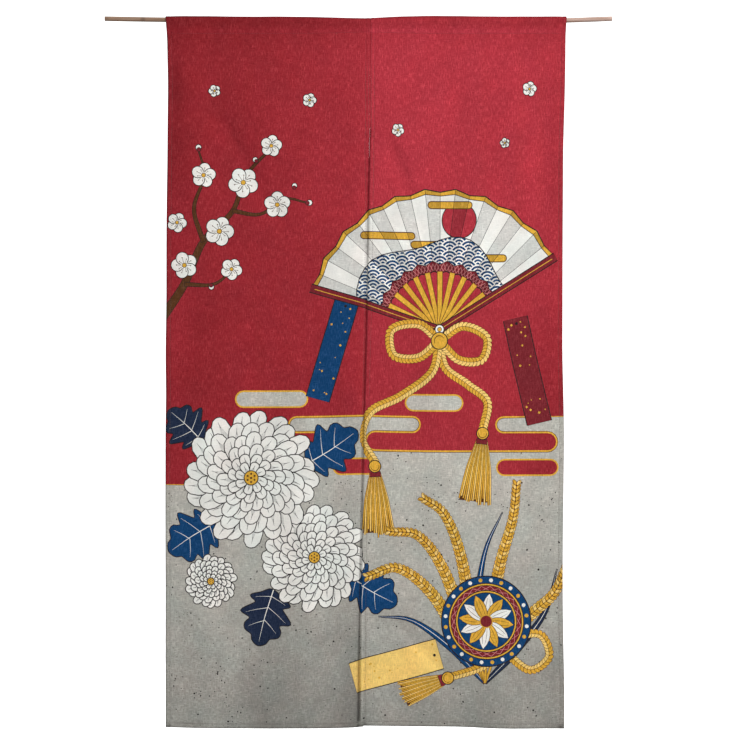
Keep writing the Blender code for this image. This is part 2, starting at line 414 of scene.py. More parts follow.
def leaf(art, root, angle, length, width, ink="navy"):
    """A lobed leaf with veins."""
    ahead, side = way_of(angle), way_of(angle + 90)

    def at(share, out):
        return root + ahead * length * share + side * width * out

    right, left = ([at(share, way * half) for share, half in LEAF] for way in (1, -1))
    art.outlined(curve(right + left[-2:0:-1], 6.0, closed=True), ink)
    art.brush(curve([at(0.0, 0), at(0.5, 0.02), at(0.93, 0)]), (2.2, 1.6, 0.4), "white")
    for vein in VEINS:
        for way in (-1, 1):
            bend = at((vein.start + vein.end) / 2, way * vein.out * 0.55)
            art.brush(curve([at(vein.start, 0), bend, at(vein.end, way * vein.out)]), (1.3, 0.3), "white")


def plum(art, centre, radius, turn=0.0):
    """A five-petalled blossom."""
    for k in range(5):
        art.disc(polar(centre, radius * 0.56, turn + 72 * k), radius * 0.46, "white", LINE * 0.8, sides=18)
    art.disc(centre, radius * 0.3, "white", sides=10)
    for k in range(10):
        tip = polar(centre, radius * (0.5 if k % 2 else 0.62), turn + 36 * k)
        art.line(centre, tip, 0.8, "brown")
        art.disc(tip, max(radius * 0.045, 1.0), "brown", sides=6)
    art.disc(centre, radius * 0.15, "gold", FINE, sides=10)


def bud(art, centre, radius, turn):
    """A round bud on its calyx."""
    art.disc(polar(centre, radius * 0.5, turn), radius * 0.6, "white", LINE * 0.8, sides=12)
    art.disc(centre, radius * 0.45, "maroon", FINE, sides=10)


def branch(art, points, widths):
    art.outlined(stroke(curve(points, 9.0), widths), "brown", FINE)


def grain(root, angle, length, width):
    """A pointed oval: a grain, or one turn of a cord's strand."""
    share = np.array([0.0, 0.25, 0.6, 0.88, 1.0])
    half = np.array([0.12, 0.44, 0.5, 0.3, 0.0])[:, None] * width
    outline = both_sides(polar(root, length * share, angle), way_of(angle + 90), half)
    # the tip is there twice
    return np.delete(outline, len(share), axis=0)


CORD_PITCH = 7.5
STRANDS = 17
EAR_START, EAR_PITCH = 0.42, 8.4  # share of the stem that is bare, and the distance between grains


def cord(art, points, width):
    """A plaited gold cord: pairs of strands along a line."""
    art.brush(curve(points, 6.0), (width + 2, width + 2), "brown")
    art.brush(curve(points, 6.0), (width - 1, width - 1), "gold")
    line = curve(points, 1.0)
    for here, angle in stops_on(line, np.arange(0, lengths(line)[-1], CORD_PITCH), 4):
        for side, ink in ((-1, "yellow"), (1, "gold")):
            root = polar(here, width * 0.06, angle + 90 * side)
            art.outlined(grain(root, angle + side * 34, width * 0.86, width * 0.52), ink, 0.9, "brown")


def tassel(art, top, angle, length, spread, seed):
    """A cord's end: a knot, a bound head and loose strands."""
    rng = np.random.default_rng(seed)
    ahead, side = way_of(angle), way_of(angle + 90)
    neck = polar(top, length * 0.16, angle)
    hem = polar(neck, length, angle)
    art.add([neck - side * 11, neck + side * 11, hem + side * spread, hem - side * spread], "brown")
    places = np.linspace(-1, 1, STRANDS)
    width = 2.3 * spread / STRANDS
    for k in np.argsort(np.abs(places))[::-1]:
        out = side * spread * places[k]
        end = polar(neck, length * (1.02 + rng.uniform(-0.07, 0.07) - 0.05 * places[k] ** 2), angle) + out
        middle = polar(neck, length * 0.45, angle) + out * 0.72
        line = curve([neck + side * 10 * places[k], middle, end], length / 5)
        art.brush(line, (width * 0.7, width * 1.15, width * 0.9), "brown")
        art.brush(line, (width * 0.35, width * 0.75, width * 0.5), "gold" if k % 3 else "yellow")
    low = neck + ahead * 10
    art.outlined([neck - side * 11, low - side * 12, low + side * 12, neck + side * 11], "maroon", FINE)
    knot = polar(top, length * 0.07, angle)
    art.disc(knot, 12, "gold", LINE)
    art.brush(polar(knot, 9, angle + np.linspace(-100, 100, 9)), (1, 1.4, 1), "brown")


def bar(art, middle, length, height, ink, outline, line=LINE, within=None):
    """A level bar with round ends."""
    reach = length / 2 - height / 2
    turns = np.linspace(-90, 90, 9)
    right = polar((middle[0] + reach, middle[1]), height / 2, 90 + turns)
    left = polar((middle[0] - reach, middle[1]), height / 2, 270 + turns)
    art.outlined(np.vstack([right, left]), ink, line, outline, within)


def waves(art, within, left, right, top, bottom, radius):
    """Overlapping rings, row over row."""
    shares, inks = (1.0, 0.86, 0.66, 0.52, 0.34, 0.2), ("white", "navy") * 3
    for row in range(int((bottom - top) / (radius * 0.5)) + 2):
        shift = radius if row % 2 else 0.0
        for x in np.arange(left - radius + shift, right + radius, 2 * radius):
            art.rings((x, top + row * radius * 0.5), radius, *zip(shares, inks), sides=22, within=within)


Fan = namedtuple("Fan", "x drop inner outer turn opening pleats")
FAN = Fan(x=160, drop=655, inner=122, outer=292, turn=-7, opening=132, pleats=20)


def fan(art, f):
    """A folding fan: a painted leaf of pleats on its ribs, between two guards."""
    centre = (f.x, f.drop)
    folds = f.turn + f.opening * (np.arange(f.pleats + 1) / f.pleats - 0.5)
    # each fold is drawn a little nearer or further than the last, more so at the outer edge
    zig = np.where(np.arange(f.pleats + 1) % 2, -1.0, 1.0)

    def low_end(radius, k=slice(None)):
        return polar(centre, radius + 2.5 * zig[k], folds[k])

    def high_end(radius, k=slice(None)):
        return polar(centre, radius + 4 * zig[k], folds[k])

    def band(low, high, k=slice(None)):
        return np.vstack([low_end(low, k), high_end(high, k)[::-1]])

    def stick(angle, start, end, half_start, half_end):
        """A bar out from the pivot."""
        middle = polar(centre, np.array([start, end]), angle)
        return both_sides(middle, way_of(angle + 90), np.array([[half_start], [half_end]]))

    whole = band(f.inner, f.outer)
    art.outlined(whole, "white", LINE + 0.4)
    # a sun behind a sea, with bars of mist
    sky = band(f.inner, f.outer - 8)
    art.disc(polar(centre, f.outer * 0.80, f.turn + 17), 37, "crimson", LINE, within=sky)
    for x, y, length in ((-118, -196, 120), (20, -262, 96), (70, -150, 150), (-30, -178, 70)):
        bar(art, (f.x + x, f.drop + y), length, 13, "gold", "brown", within=sky)
    crests = polar(centre, 188 + 14 * np.sin(np.radians(folds * 5.2)) - 0.16 * folds, folds)
    sea = np.vstack([low_end(f.inner), crests[::-1]])
    art.outlined(sea, "navy", within=whole)
    waves(art, sea, f.x - 190, f.x + 180, f.drop - 200, f.drop - 40, 21)
    # bands along the inner and outer edges
    border = band(f.inner, f.inner + 18.5)
    art.add(band(f.inner, f.inner + 20), "black")
    art.add(border, "maroon")
    marks = folds[0] + f.opening * np.arange(2 * f.pleats + 1) / (2 * f.pleats)
    for a, b in zip(marks, marks[1:]):
        for low, high in ((a, b), (b, a)):
            art.line(polar(centre, f.inner + 1, low), polar(centre, f.inner + 18, high), 1.1, "pink", border)
    art.add(band(f.outer - 9, f.outer), "black")
    art.add(band(f.outer - 7.5, f.outer), "gold")
    # every other pleat is in shade, and each fold shows
    for k in range(0, f.pleats, 2):
        art.add(band(f.inner, f.outer, slice(k, k + 2)), 0.86)
    for k in range(1, f.pleats):
        art.line(low_end(f.inner, k), high_end(f.outer, k), 0.9, "black")
    for angle in folds[1 : f.pleats : 2]:
        art.outlined(stick(angle, 8, f.inner, 4.2, 5.2), "gold", FINE + 0.2, "brown")
    for angle in folds[[0, -1]]:
        art.outlined(stick(angle, -26, f.outer + 5, 6.5, 8), "maroon")
        art.brush(polar(centre, np.array([-18, f.outer - 4]), angle), (1.2, 1.6), "gold")
    art.disc(centre, 9, "white", LINE)
    art.disc(centre, 4, "gold", FINE)


# Where the border between crimson and grey turns back, from right to left.
MIST = table(
    "x drop",
    (300, 838), (395, 874), (24, 910), (104, 874), (-150, 838), (-64, 874),
    (-330, 910), (-236, 946), (-470, 982),
)
MIST_BARS = table(
    "x drop length ink",
    (352, 946, 128, "crimson"), (150, 810, 120, "grey"), (-204, 802, 150, "grey"), (-20, 946, 96, "crimson"),
)
# past the edges of the cloth
FAR_LEFT, FAR_RIGHT, FAR_UP, FAR_DOWN = -470.0, 470.0, -120.0, 1640.0


def ground(art):
    """Crimson above, grey below, parted by bars of mist."""
    corners = [(FAR_LEFT, FAR_UP), (FAR_RIGHT, FAR_UP)]
    art.add(corners + [(FAR_RIGHT, FAR_DOWN), (FAR_LEFT, FAR_DOWN)], "grey")
    points = corners + [(FAR_RIGHT, MIST[0].drop)]
    going = -1
    for here, after in zip(MIST, MIST[1:]):
        middle, rise = (here.drop + after.drop) / 2, (after.drop - here.drop) / 2
        for a in np.linspace(0, pi, 9):
            points.append((here.x + going * abs(rise) * sin(a), middle - rise * cos(a)))
        going = -going
    points = np.array(points + [(FAR_LEFT, MIST[-1].drop)])
    for edge, ink in ((4.6, "brown"), (3.4, "gold"), (0.0, "crimson")):
        art.add(grown(points, edge), ink)
    for row in MIST_BARS:
        bar(art, (row.x, row.drop), row.length, 30, row.ink, "gold", 3.4)


def slip(art, middle, width, length, turn, ink, seed):
    """A plain paper slip with a border and flecks of gold leaf."""
    side, down = way_of(90 + turn), way_of(180 + turn)
    corners = ((-1, -1), (1, -1), (1, 1), (-1, 1))
    art.outlined([middle + side * width / 2 * a + down * length / 2 * b for a, b in corners], ink)
    rng = np.random.default_rng(seed)
    for _ in range(int(width * length / 420)):
        x, y = rng.uniform(-0.42, 0.42) * width, rng.uniform(-0.46, 0.46) * length
        # flecks gather toward the two ends
        if abs(y) < length * 0.2 and rng.uniform() < 0.75:
            continue
        size = rng.uniform(1.0, 3.2)
        art.add(polar(middle + side * x + down * y, size, rng.uniform(0, 90) + np.arange(4) * 90), "gold")
    art.disc(middle - down * (length / 2 - 11), 3.2, "black", sides=8)


def ball(art, centre, radius, turn=0.0):
    """A thread-wound ball: lenses of thread around a pole, between rings."""
    art.disc(centre, radius, "navy", LINE + 0.4, sides=60)
    for k in range(24):
        dot = polar(centre, radius * 0.925, turn + k * 15)
        art.disc(dot, radius * 0.045, ("white", "gold")[k % 2], sides=8)
    art.rings(centre, radius, (0.86, "black"), (0.84, "gold"), (0.81, "black"), (0.795, "maroon"), sides=60)
    for a in turn + np.arange(24) * 15:
        for b in (a + 15, a - 15):
            art.line(polar(centre, radius * 0.69, a), polar(centre, radius * 0.79, b), 1.1, "pink")
    art.rings(centre, radius, (0.70, "black"), (0.68, "gold"), (0.65, "black"), (0.635, "navy"), sides=60)
    share = np.linspace(0, 1, 7)
    half = (np.sin(share * pi) ** 0.8 * radius * 0.115 + 0.2)[:, None]
    for n in range(12):
        angle = turn + n * 30
        middle, way = polar(centre, radius * 0.62 * share, angle), way_of(angle + 90)
        lens = np.vstack([middle + way * half, (middle - way * half)[-2:0:-1]])
        art.outlined(lens, ("white", "gold")[n % 2], FINE)
        for spread in (-0.4, 0.4):
            art.brush((middle + way * half * spread)[1:-1], (0.5, 0.9, 0.5), "brown")
    art.disc(centre, radius * 0.13, "maroon", LINE, "gold", sides=20)


def blade(art, points, width, ink="navy"):
    """A long grass leaf."""
    widths = (width * 0.4, width, width * 0.9, width * 0.5, 0.4)
    art.outlined(stroke(curve(points, 14.0), widths), ink, FINE + 0.3)
    art.brush(curve(points, 20.0), (0.6, 1.3, 0.3), "white")


def ear(art, points):
    """A drooping ear of rice on its stem."""
    art.outlined(stroke(curve(points, 8.0), (4.4, 3.4, 2.4)), "gold", 0.9, "brown")
    line = curve(points, 1.0)
    run = lengths(line)
    first = run[-1] * EAR_START
    art.brush(line[run > first][::6], (9, 11, 6), "brown")
    stops = np.arange(first, run[-1], EAR_PITCH)
    for n, (here, angle) in enumerate(stops_on(line, stops, 3)):
        share = (stops[n] - first) / (run[-1] - first)
        for side in (-1, 1):
            for lean, size in ((46 - 14 * share, 1.0), (22, 0.85)):
                length = 16.5 * size * (1 - 0.25 * share)
                shape = grain(polar(here, 1.6, angle + 90 * side), angle + side * lean, length, length * 0.5)
                art.outlined(shape, "gold" if (n + side) % 3 else "yellow", 0.95, "brown")


SPECKS, NESTS, NEST_SPREAD = 720, 34, 16
SPECK_LOW, SPECK_HIGH = (-428, 900), (428, 1490)


def specks(art):
    """Specks on the grey, some of them in clusters."""
    rng = np.random.default_rng(11)
    nests = rng.uniform(SPECK_LOW, SPECK_HIGH, (NESTS, 2))
    for n in range(SPECKS):
        if n % 5 < 3:
            at = rng.uniform(SPECK_LOW, SPECK_HIGH)
        else:
            at = nests[n % NESTS] + rng.normal(0, NEST_SPREAD, 2)
        size = rng.choice((0.8, 1.2, 1.6, 2.1), p=(0.38, 0.34, 0.2, 0.08))
        art.add(polar(at, size * rng.uniform(0.7, 1.3, 6), np.arange(6) * 60), "black", within="grey")


def design():
    """Everything that is printed on the two panels, in millimetres across and down."""
    art = Print()
    ground(art)
    # plum branch in the upper left
    trunk = [(-445, 640), (-392, 560), (-352, 470), (-290, 405), (-262, 330), (-196, 262)]
    branch(art, trunk, (19, 15, 13, 9, 6, 3))
    branch(art, [(-352, 470), (-372, 400), (-350, 330), (-362, 280)], (9, 7, 4, 2))
    branch(art, [(-290, 405), (-232, 412), (-180, 380), (-134, 388)], (8, 5, 4, 2))
    branch(art, [(-392, 560), (-330, 560), (-290, 530)], (8, 5, 2))
    for x, y, radius, turn in (
        (-352, 330, 25, 10), (-268, 345, 31, 40), (-196, 392, 27, 0), (-318, 448, 30, 20),
        (-392, 520, 27, 55), (-292, 528, 22, 30), (-208, 268, 22, 10), (-408, 430, 20, 25),
    ):
        plum(art, (x, y), radius, turn)
    for x, y, radius, turn in (
        (-362, 276, 9, -10), (-132, 389, 9, 80), (-240, 300, 8, -40), (-335, 562, 8, 170), (-160, 356, 8, 10),
    ):
        bud(art, (x, y), radius, turn)
    # loose blossoms
    for x, y, radius, turn in (
        (-128, 172, 14, 20), (-330, 152, 12, 50), (352, 148, 15, 12),
        (62, 236, 13, 33), (-62, 560, 15, 5), (300, 262, 10, 60),
    ):
        plum(art, (x, y), radius, turn)
    slip(art, (-76, 700), 50, 214, 16, "navy", seed=3)
    slip(art, (352, 742), 52, 226, -13, "maroon", seed=5)
    fan(art, FAN)
    # a bow, with its knot just below the fan's pivot
    knot = np.array([FAN.x, FAN.drop + 24])
    cord(art, knot + [(0, 0), (14, 56), (62, 92), (104, 128), (96, 186)], 15)
    cord(art, knot + [(0, 0), (-16, 66), (-80, 116), (-146, 152), (-164, 208), (-136, 258)], 15)
    cord(art, knot + [(0, 0), (-46, -34), (-104, -22), (-100, 30), (-46, 36), (0, 0)], 15)
    cord(art, knot + [(0, 0), (50, -30), (102, -8), (94, 38), (44, 40), (0, 0)], 15)
    art.disc(knot, 17, "gold", LINE)
    art.brush(polar(knot, 11, np.linspace(-120, 60, 9)), (1, 2.0, 1), "brown")
    tassel(art, knot + (96, 186), 186, 132, 34, seed=1)
    tassel(art, knot + (-136, 258), 176, 128, 33, seed=2)
    # chrysanthemums in the lower left
    leaf(art, (-322, 1062), 238, 118, 118)
    leaf(art, (-128, 940), 58, 128, 116)
    leaf(art, (-30, 1180), 118, 118, 112)
    leaf(art, (-196, 1204), 196, 122, 112, "deep_navy")
    leaf(art, (-352, 890), 312, 96, 100, "deep_navy")
    chrysanthemum(art, (-108, 1136), 112, 8)
    chrysanthemum(art, (-246, 968), 142, 0)
    chrysanthemum(art, (-332, 1186), 66, 20, RINGS[1:])
    # rice ears and a ball in the lower right
    root = (262, 1400)
    blade(art, [root, (196, 1330), (110, 1270), (36, 1262)], 15)
    blade(art, [root, (330, 1330), (392, 1250), (418, 1160)], 15, "deep_navy")
    blade(art, [root, (246, 1270), (262, 1130), (300, 1040)], 14)
    ear(art, [root, (212, 1310), (150, 1212), (78, 1160), (14, 1178)])
    ear(art, [root, (222, 1290), (176, 1164), (122, 1092), (60, 1082)])
    ear(art, [root, (300, 1310), (366, 1252), (412, 1210), (440, 1150)])
    ear(art, [root, (238, 1280), (212, 1134), (176, 1046), (128, 1010)])
    ear(art, [root, (272, 1280), (296, 1150), (322, 1056), (330, 978)])
    slip(art, (72, 1366), 64, 196, 74, "yellow", seed=9)
    cord(art, [(300, 1330), (356, 1372), (398, 1346), (382, 1300), (330, 1306), (262, 1362), (190, 1388)], 14)
    ball(art, (266, 1270), 94, 7)
    tassel(art, (190, 1388), 250, 92, 27, seed=4)
    specks(art)
    return art


# ---------------------------------------------------------------- the hung cloth
WIDTH = 430.0  # of one panel, laid flat
THICK = 0.7
HEM_THICK = 1.5
HEM_WIDTH = 10.0
HEM_LINE = 9.2  # from the edge to the hem's stitches
WALL = 31.0  # cloth from the pocket's stitches up to the rod's level
TURN = 20.0  # cloth over the rod
FLAP = 6.0  # the pocket's turned edge, below its stitches
ART_TOP = 31.0  # drop, in the design, of the pocket's stitches
APEX = -WALL - TURN / 2
BACK_TOP = -WALL - TURN
BACK_STITCH = BACK_TOP - WALL
SEAM_END = 204.0  # v down to which the panels are sewn together
SEAM_LINE = 2.4  # from the edge to the seam's own stitches
BESIDE_SEAM = 40.0  # cloth this near the seam has no free edge there
BACK_GAP = 2 * THICK + 0.06  # from the front layer's face to the back layer's
SLOPE_STEP = 0.4  # step for reading the slope of the cloth

# The finer relief: how far each form stands out, or lies in where the name says so.
STITCH_DIP = 0.28
HEM_PUCKER = 0.22
POCKET_DIP = 0.16
POCKET_PUCKER = 0.2
RUMPLE = 0.14
WAVER = 0.12
EDGE_DIP = 0.6
SEAM_RIDGE = 0.25
SEAM_DIP = 0.45
SEAM_STITCH_DIP = 0.14
SEAM_PULL_DIP = 2.0

# Sharper creases than the folds, from one place on the flat cloth to another.
CREASES = table(
    "u_high v_high u_low v_low half_width height",
    (-438, 0, -438, 330, 27, -4.0),
    (-318, 160, -250, 300, 9, -0.7),
    (40, 205, 96, 330, 8, -0.8),
    (8, 470, 70, 560, 8, -0.8),
    (70, 1240, 210, 1400, 9, -0.9),
    (-250, 1250, -205, 1440, 10, 0.8),
)


def ridge(u, v, line):
    """Height of a soft crease that dies away toward both ends."""
    way = np.array([line.u_low - line.u_high, line.v_low - line.v_high], float)
    length = np.linalg.norm(way)
    way /= length
    share = ((u - line.u_high) * way[0] + (v - line.v_high) * way[1]) / length
    off = (u - line.u_high) * way[1] - (v - line.v_high) * way[0]
    ends = smooth_step(-0.1, 0.3, share) * smooth_step(1.1, 0.7, share)
    return line.height * ends * bell(off, line.half_width)


def uneven(at, pitch, sway, sway_pitch):
    """A wave that isn't quite regular. A pitch is for 1 radian."""
    return np.sin(at / pitch + sway * np.sin(at / sway_pitch))


class Cloth:
    """One panel: where each place on the flat cloth hangs."""

    def __init__(self, side):
        self.side = side
        self.left = -WIDTH if side == "left" else 0.0
        self.right = self.left + WIDTH

    def share(self, u):
        return (u - self.left) / WIDTH

    def edges(self, drop):
        """x of the hung panel's left and right edge."""
        gap = SEAM_GAP / 2
        if self.side == "left":
            return along(EDGES, "outer_left", drop), along(EDGES, "inner_left", drop) - gap
        return along(EDGES, "inner_right", drop) + gap, along(EDGES, "outer_right", drop)

    def x(self, share, drop):
        left, right = self.edges(drop)
        return left + share * (right - left)

    def slit_roll(self, x, drop):
        """How far the cloth beside the slit falls back, or comes forward if negative."""
        left, right = self.edges(drop)
        if self.side == "left":
            return along(SLIT, "left_back", drop) * bell(right - x, SLIT_ROLL)
        return -along(SLIT, "right_forward", drop) * bell(x - left, SLIT_ROLL)

    def below_pocket(self, share, drop):
        """y and z of the printed face below the pocket."""
        x = self.x(share, drop)
        ripple = pucker(x, drop + along(POCKET, "stitch", x))
        return -CLOTH - ripple - fold_height(x, drop) + self.slit_roll(x, drop), -drop

    def stitch(self, u):
        return along(POCKET, "stitch", self.x(self.share(u), 0.0))

    def bottom(self, u):
        """v of the bottom edge."""
        return along(HEMLINE, self.side, self.share(u)) + self.stitch(u)

    def base(self, u, v):
        """The cloth's outer face, without its finer relief."""
        share = self.share(u)
        x = self.x(share, 0.0)
        stitch, top = along(POCKET, "stitch", x), along(POCKET, "top", x)
        rod = along(ROD_BOW, "height", x)
        # the pocket rises in front, turns over the rod and comes down behind
        front_rise, back_rise = np.clip(-v / WALL, 0, 1), np.clip((v - BACK_STITCH) / WALL, 0, 1)
        angle = pi * np.clip((-WALL - v) / TURN, 0, 1)
        near = BACK_GAP - CLOTH
        front = -CLOTH - (POCKET_HALF - CLOTH) * front_rise**POCKET_BULGE - pucker(x, v)
        back = near + (POCKET_HALF - near) * back_rise**POCKET_BULGE - pucker(x, v - BACK_STITCH)
        over = rod + (top - rod) * np.sin(angle)
        up_front, up_back = (stitch + rise * (rod - stitch) for rise in (front_rise, back_rise))
        # its turned edge hangs behind the cloth below it
        low = np.where(v > 0, v, np.where(v < BACK_STITCH, BACK_STITCH - v, 0.0))
        hung_y, hung_z = self.below_pocket(share, low - stitch)
        where = [v > 0, v >= -WALL, v > BACK_TOP, v >= BACK_STITCH]
        y = np.select(where, [hung_y, front, -POCKET_HALF * np.cos(angle), back], hung_y + BACK_GAP)
        z = np.select(where, [hung_z, up_front, over, up_back], hung_z)
        return np.stack([self.x(share, -z), y, z], axis=-1)

    def relief(self, u, v):
        """How far the finer relief stands out of the outer face."""
        side, end = self.to_side(u), self.bottom(u) - v
        height = -STITCH_DIP * np.minimum(bell(side - HEM_LINE, 1.4) + bell(end - HEM_LINE, 1.4), 1.0)
        drawn = 0.6 + 0.4 * np.sin(v / 71 + u)
        height += HEM_PUCKER * drawn * uneven(v, 4.6, 1.7, 37) * bell(side, 8)
        height += HEM_PUCKER * uneven(u, 4.9, 1.5, 29) * bell(end, 8)
        height -= POCKET_DIP * bell(v, 2.2)
        height += POCKET_PUCKER * uneven(u, 2.9, 1.0, 23) * bell(v, 9)
        height += RUMPLE * np.sin(u / 13 + v / 41 + 2 * np.sin(v / 97)) * np.sin(v / 29 + u / 57)
        height += WAVER * np.sin(u / 31 - v / 23 + 1.3 * np.sin(u / 61))
        for line in CREASES:
            height += ridge(u, v, line)
        height -= EDGE_DIP * bell(self.to_free_edge(u, v), 1.8) * smooth_step(-8, 12, v)
        # both panels turn back into the seam that joins them, and stand up beside it
        inner = self.from_slit(u)
        sewn = smooth_step(SEAM_END + 6, SEAM_END - 12, v) * (0.45 + 0.55 * bell(v - 10, 50))
        height += sewn * (SEAM_RIDGE * bell(inner - 5.0, 2.2) - SEAM_DIP * bell(inner, 1.1))
        height -= sewn * SEAM_STITCH_DIP * bell(inner - SEAM_LINE, 0.9)
        if self.side == "right":
            # the seam's end pulls this edge in
            pull = smooth_step(SEAM_END - 12, SEAM_END + 4, v) * smooth_step(SEAM_END + 54, SEAM_END + 40, v)
            height -= SEAM_PULL_DIP * pull * bell(inner, 2.4)
        return height

    def normals(self, surface, u, v):
        across = surface(u + SLOPE_STEP, v) - surface(u - SLOPE_STEP, v)
        down = surface(u, v + SLOPE_STEP) - surface(u, v - SLOPE_STEP)
        return unit(np.cross(down, across))

    def outer(self, u, v):
        return self.base(u, v) + self.normals(self.base, u, v) * self.relief(u, v)[..., None]

    def from_slit(self, u):
        """Distance from the panel's edge beside the slit."""
        return -u if self.side == "left" else u

    def to_side(self, u):
        """Distance to the nearer side edge."""
        return np.minimum(u - self.left, self.right - u)

    def to_edge(self, u, v):
        """Distance to the nearest side or bottom edge."""
        return np.minimum(self.to_side(u), self.bottom(u) - v)

    def to_free_edge(self, u, v):
        """Distance to the nearest edge, of those that aren't sewn to the other panel."""
        sewn = (self.from_slit(u) < BESIDE_SEAM) * smooth_step(SEAM_END + 4, SEAM_END - 10, v)
        return self.to_edge(u, v) + BESIDE_SEAM * sewn

    def thickness(self, u, v):
        extra = (1 - smooth_step(HEM_WIDTH, HEM_WIDTH + 0.8, self.to_edge(u, v))) * smooth_step(8, 14, v)
        return THICK + (HEM_THICK - THICK) * extra

    def place(self, u, v):
        """Outer points, inner points and outward directions."""
        outer, out = self.outer(u, v), self.normals(self.outer, u, v)
        return outer, outer - out * self.thickness(u, v)[..., None], out


# ---------------------------------------------------------------- printing
CHUNK = 20000  # points that are looked up at once
PIECE = 8.0  # the longest part of an outline that is kept or left out as one
BESIDE = 0.12  # how far to each side of an outline the ink is looked up
TOO_SHORT = 0.02
DESIGN_END = 1500.0  # past the lowest cloth
SHOWS_THROUGH = 250.0  # the least area that shows on the back


def inside(points, polygon):
    """Which points lie inside a closed outline."""
    x0, y0 = polygon.T
    x1, y1 = np.roll(polygon, -1, axis=0).T
    lean = (x1 - x0) / np.where(y1 == y0, 1.0, y1 - y0)
    found = np.zeros(len(points), bool)
    for first in range(0, len(points), CHUNK):
        x, y = points[first : first + CHUNK, :, None].transpose(1, 0, 2)
        crossed = ((y0 > y) != (y1 > y)) & (x < x0 + (y - y0) * lean)
        found[first : first + CHUNK] = np.count_nonzero(crossed, axis=1) % 2 == 1
    return found


def printed(art, points):
    """The ink and the shade that each point of the design gets."""
    order = np.argsort(points[:, 0], kind="stable")
    spots = points[order]
    ink, shade = np.zeros(len(spots), int), np.ones(len(spots))
    for outline, colour, within in art.shapes:
        low, high = outline.min(axis=0), outline.max(axis=0)
        first, last = np.searchsorted(spots[:, 0], (low[0], high[0]))
        near = first + np.flatnonzero((spots[first:last, 1] >= low[1]) & (spots[first:last, 1] <= high[1]))
        if isinstance(within, str):
            near = near[ink[near] == INK_NUMBER[within]]
        near = near[inside(spots[near], outline)]
        if isinstance(within, np.ndarray):
            near = near[inside(spots[near], within)]
        if isinstance(colour, float):
            shade[near] *= colour
        else:
            ink[near], shade[near] = INK_NUMBER[colour], 1.0
    back = np.argsort(order, kind="stable")
    return ink[back], shade[back]


def visible_edges(art):
    """The parts of the outlines where the print changes colour, on the flat cloth."""
    starts, ends = [], []
    for outline, _, _ in art.shapes:
        after = np.roll(outline, -1, axis=0)
        count = np.maximum(np.ceil(np.linalg.norm(after - outline, axis=1) / PIECE), 1).astype(int)
        which = np.repeat(np.arange(len(outline)), count)
        step = np.arange(len(which)) - np.repeat(np.cumsum(count) - count, count)
        way = ((after - outline) / count[:, None])[which]
        starts.append(outline[which] + way * step[:, None])
        ends.append(outline[which] + way * (step[:, None] + 1))
    start, end = np.vstack(starts), np.vstack(ends)
    low, high = np.minimum(start, end), np.maximum(start, end)
    kept = (low < (WIDTH, DESIGN_END)).all(axis=1) & (high > (-WIDTH, ART_TOP + APEX)).all(axis=1)
    kept &= np.linalg.norm(end - start, axis=1) > TOO_SHORT
    start, end = start[kept], end[kept]
    beside = aside(unit(end - start)) * BESIDE
    spots = [start + (end - start) * share + beside * side for share in (0.2, 0.8) for side in (1, -1)]
    ink, shade = (each.reshape(2, 2, -1) for each in printed(art, np.vstack(spots)))
    differ = (ink[:, 0] != ink[:, 1]) | (np.abs(shade[:, 0] - shade[:, 1]) > 0.01)
    seen = differ.any(axis=0)
    return start[seen] - (0, ART_TOP), end[seen] - (0, ART_TOP)


def show_through(art):
    """The design's larger shapes, which show on the back."""
    back = Print()
    back.shapes = [shape for shape, size in zip(art.shapes, art.sizes) if size > SHOWS_THROUGH]
    return back


# ---------------------------------------------------------------- meshes
EDGE_STEP = 5.0
SIDE_POINTS = 300
GRID = 9.0  # between points of the open cloth
GRID_INSET, GRID_TOP = 20.0, 22.0
# rows along the hems, by their distance from the edge
HEM_ROWS = (1.2, 2.4, 3.8, 5.5, 8.0, HEM_LINE, 10.4, 14.0)
# rows over the rod and past the pocket's stitches, by their distance from the top of the rod
FROM_APEX = (2.3, 5.0, 7.5, 10.0, 15.0, 20.0, 25.0, 30.0, 35.0, 38.0, 39.5, -APEX, 42.5, 44.0, FLAP - APEX)
FRONT_ROWS = [APEX + away for away in (*FROM_APEX, 51.0, 56.0)]
BACK_ROWS = [APEX - away for away in FROM_APEX]
SAME_POINT, SAME_POINT_BACK = 0.03, 0.001  # points of the flat cloth that are closer are one
CLEAR = 2.0  # the back's print stays this far inside its edges


def steps(first, last, step):
    return np.linspace(first, last, int(round((last - first) / step)) + 1)


def flat_points(u, v):
    """Points on the flat cloth. Either of u and v may be a single number."""
    return np.column_stack(np.broadcast_arrays(u, v))


def rows_of(cloth, across, bottom):
    """Points that carry the hems, the pocket and the folds."""
    found = []
    for row in HEM_ROWS:
        down = np.linspace(APEX, bottom.min() - row, SIDE_POINTS)[1:-1]
        found += [flat_points(cloth.left + row, down), flat_points(cloth.right - row, down)]
        found.append(flat_points(across, bottom - row)[3:-3])
    found += [flat_points(across, row)[3:-3] for row in FRONT_ROWS]
    u = steps(cloth.left + GRID_INSET, cloth.right - GRID_INSET, GRID)
    for n, v in enumerate(steps(GRID_TOP, bottom.min() - GRID_INSET, GRID * 0.87)):
        found.append(flat_points(u + (GRID / 2 if n % 2 else 0.0), v))
    return np.vstack(found)


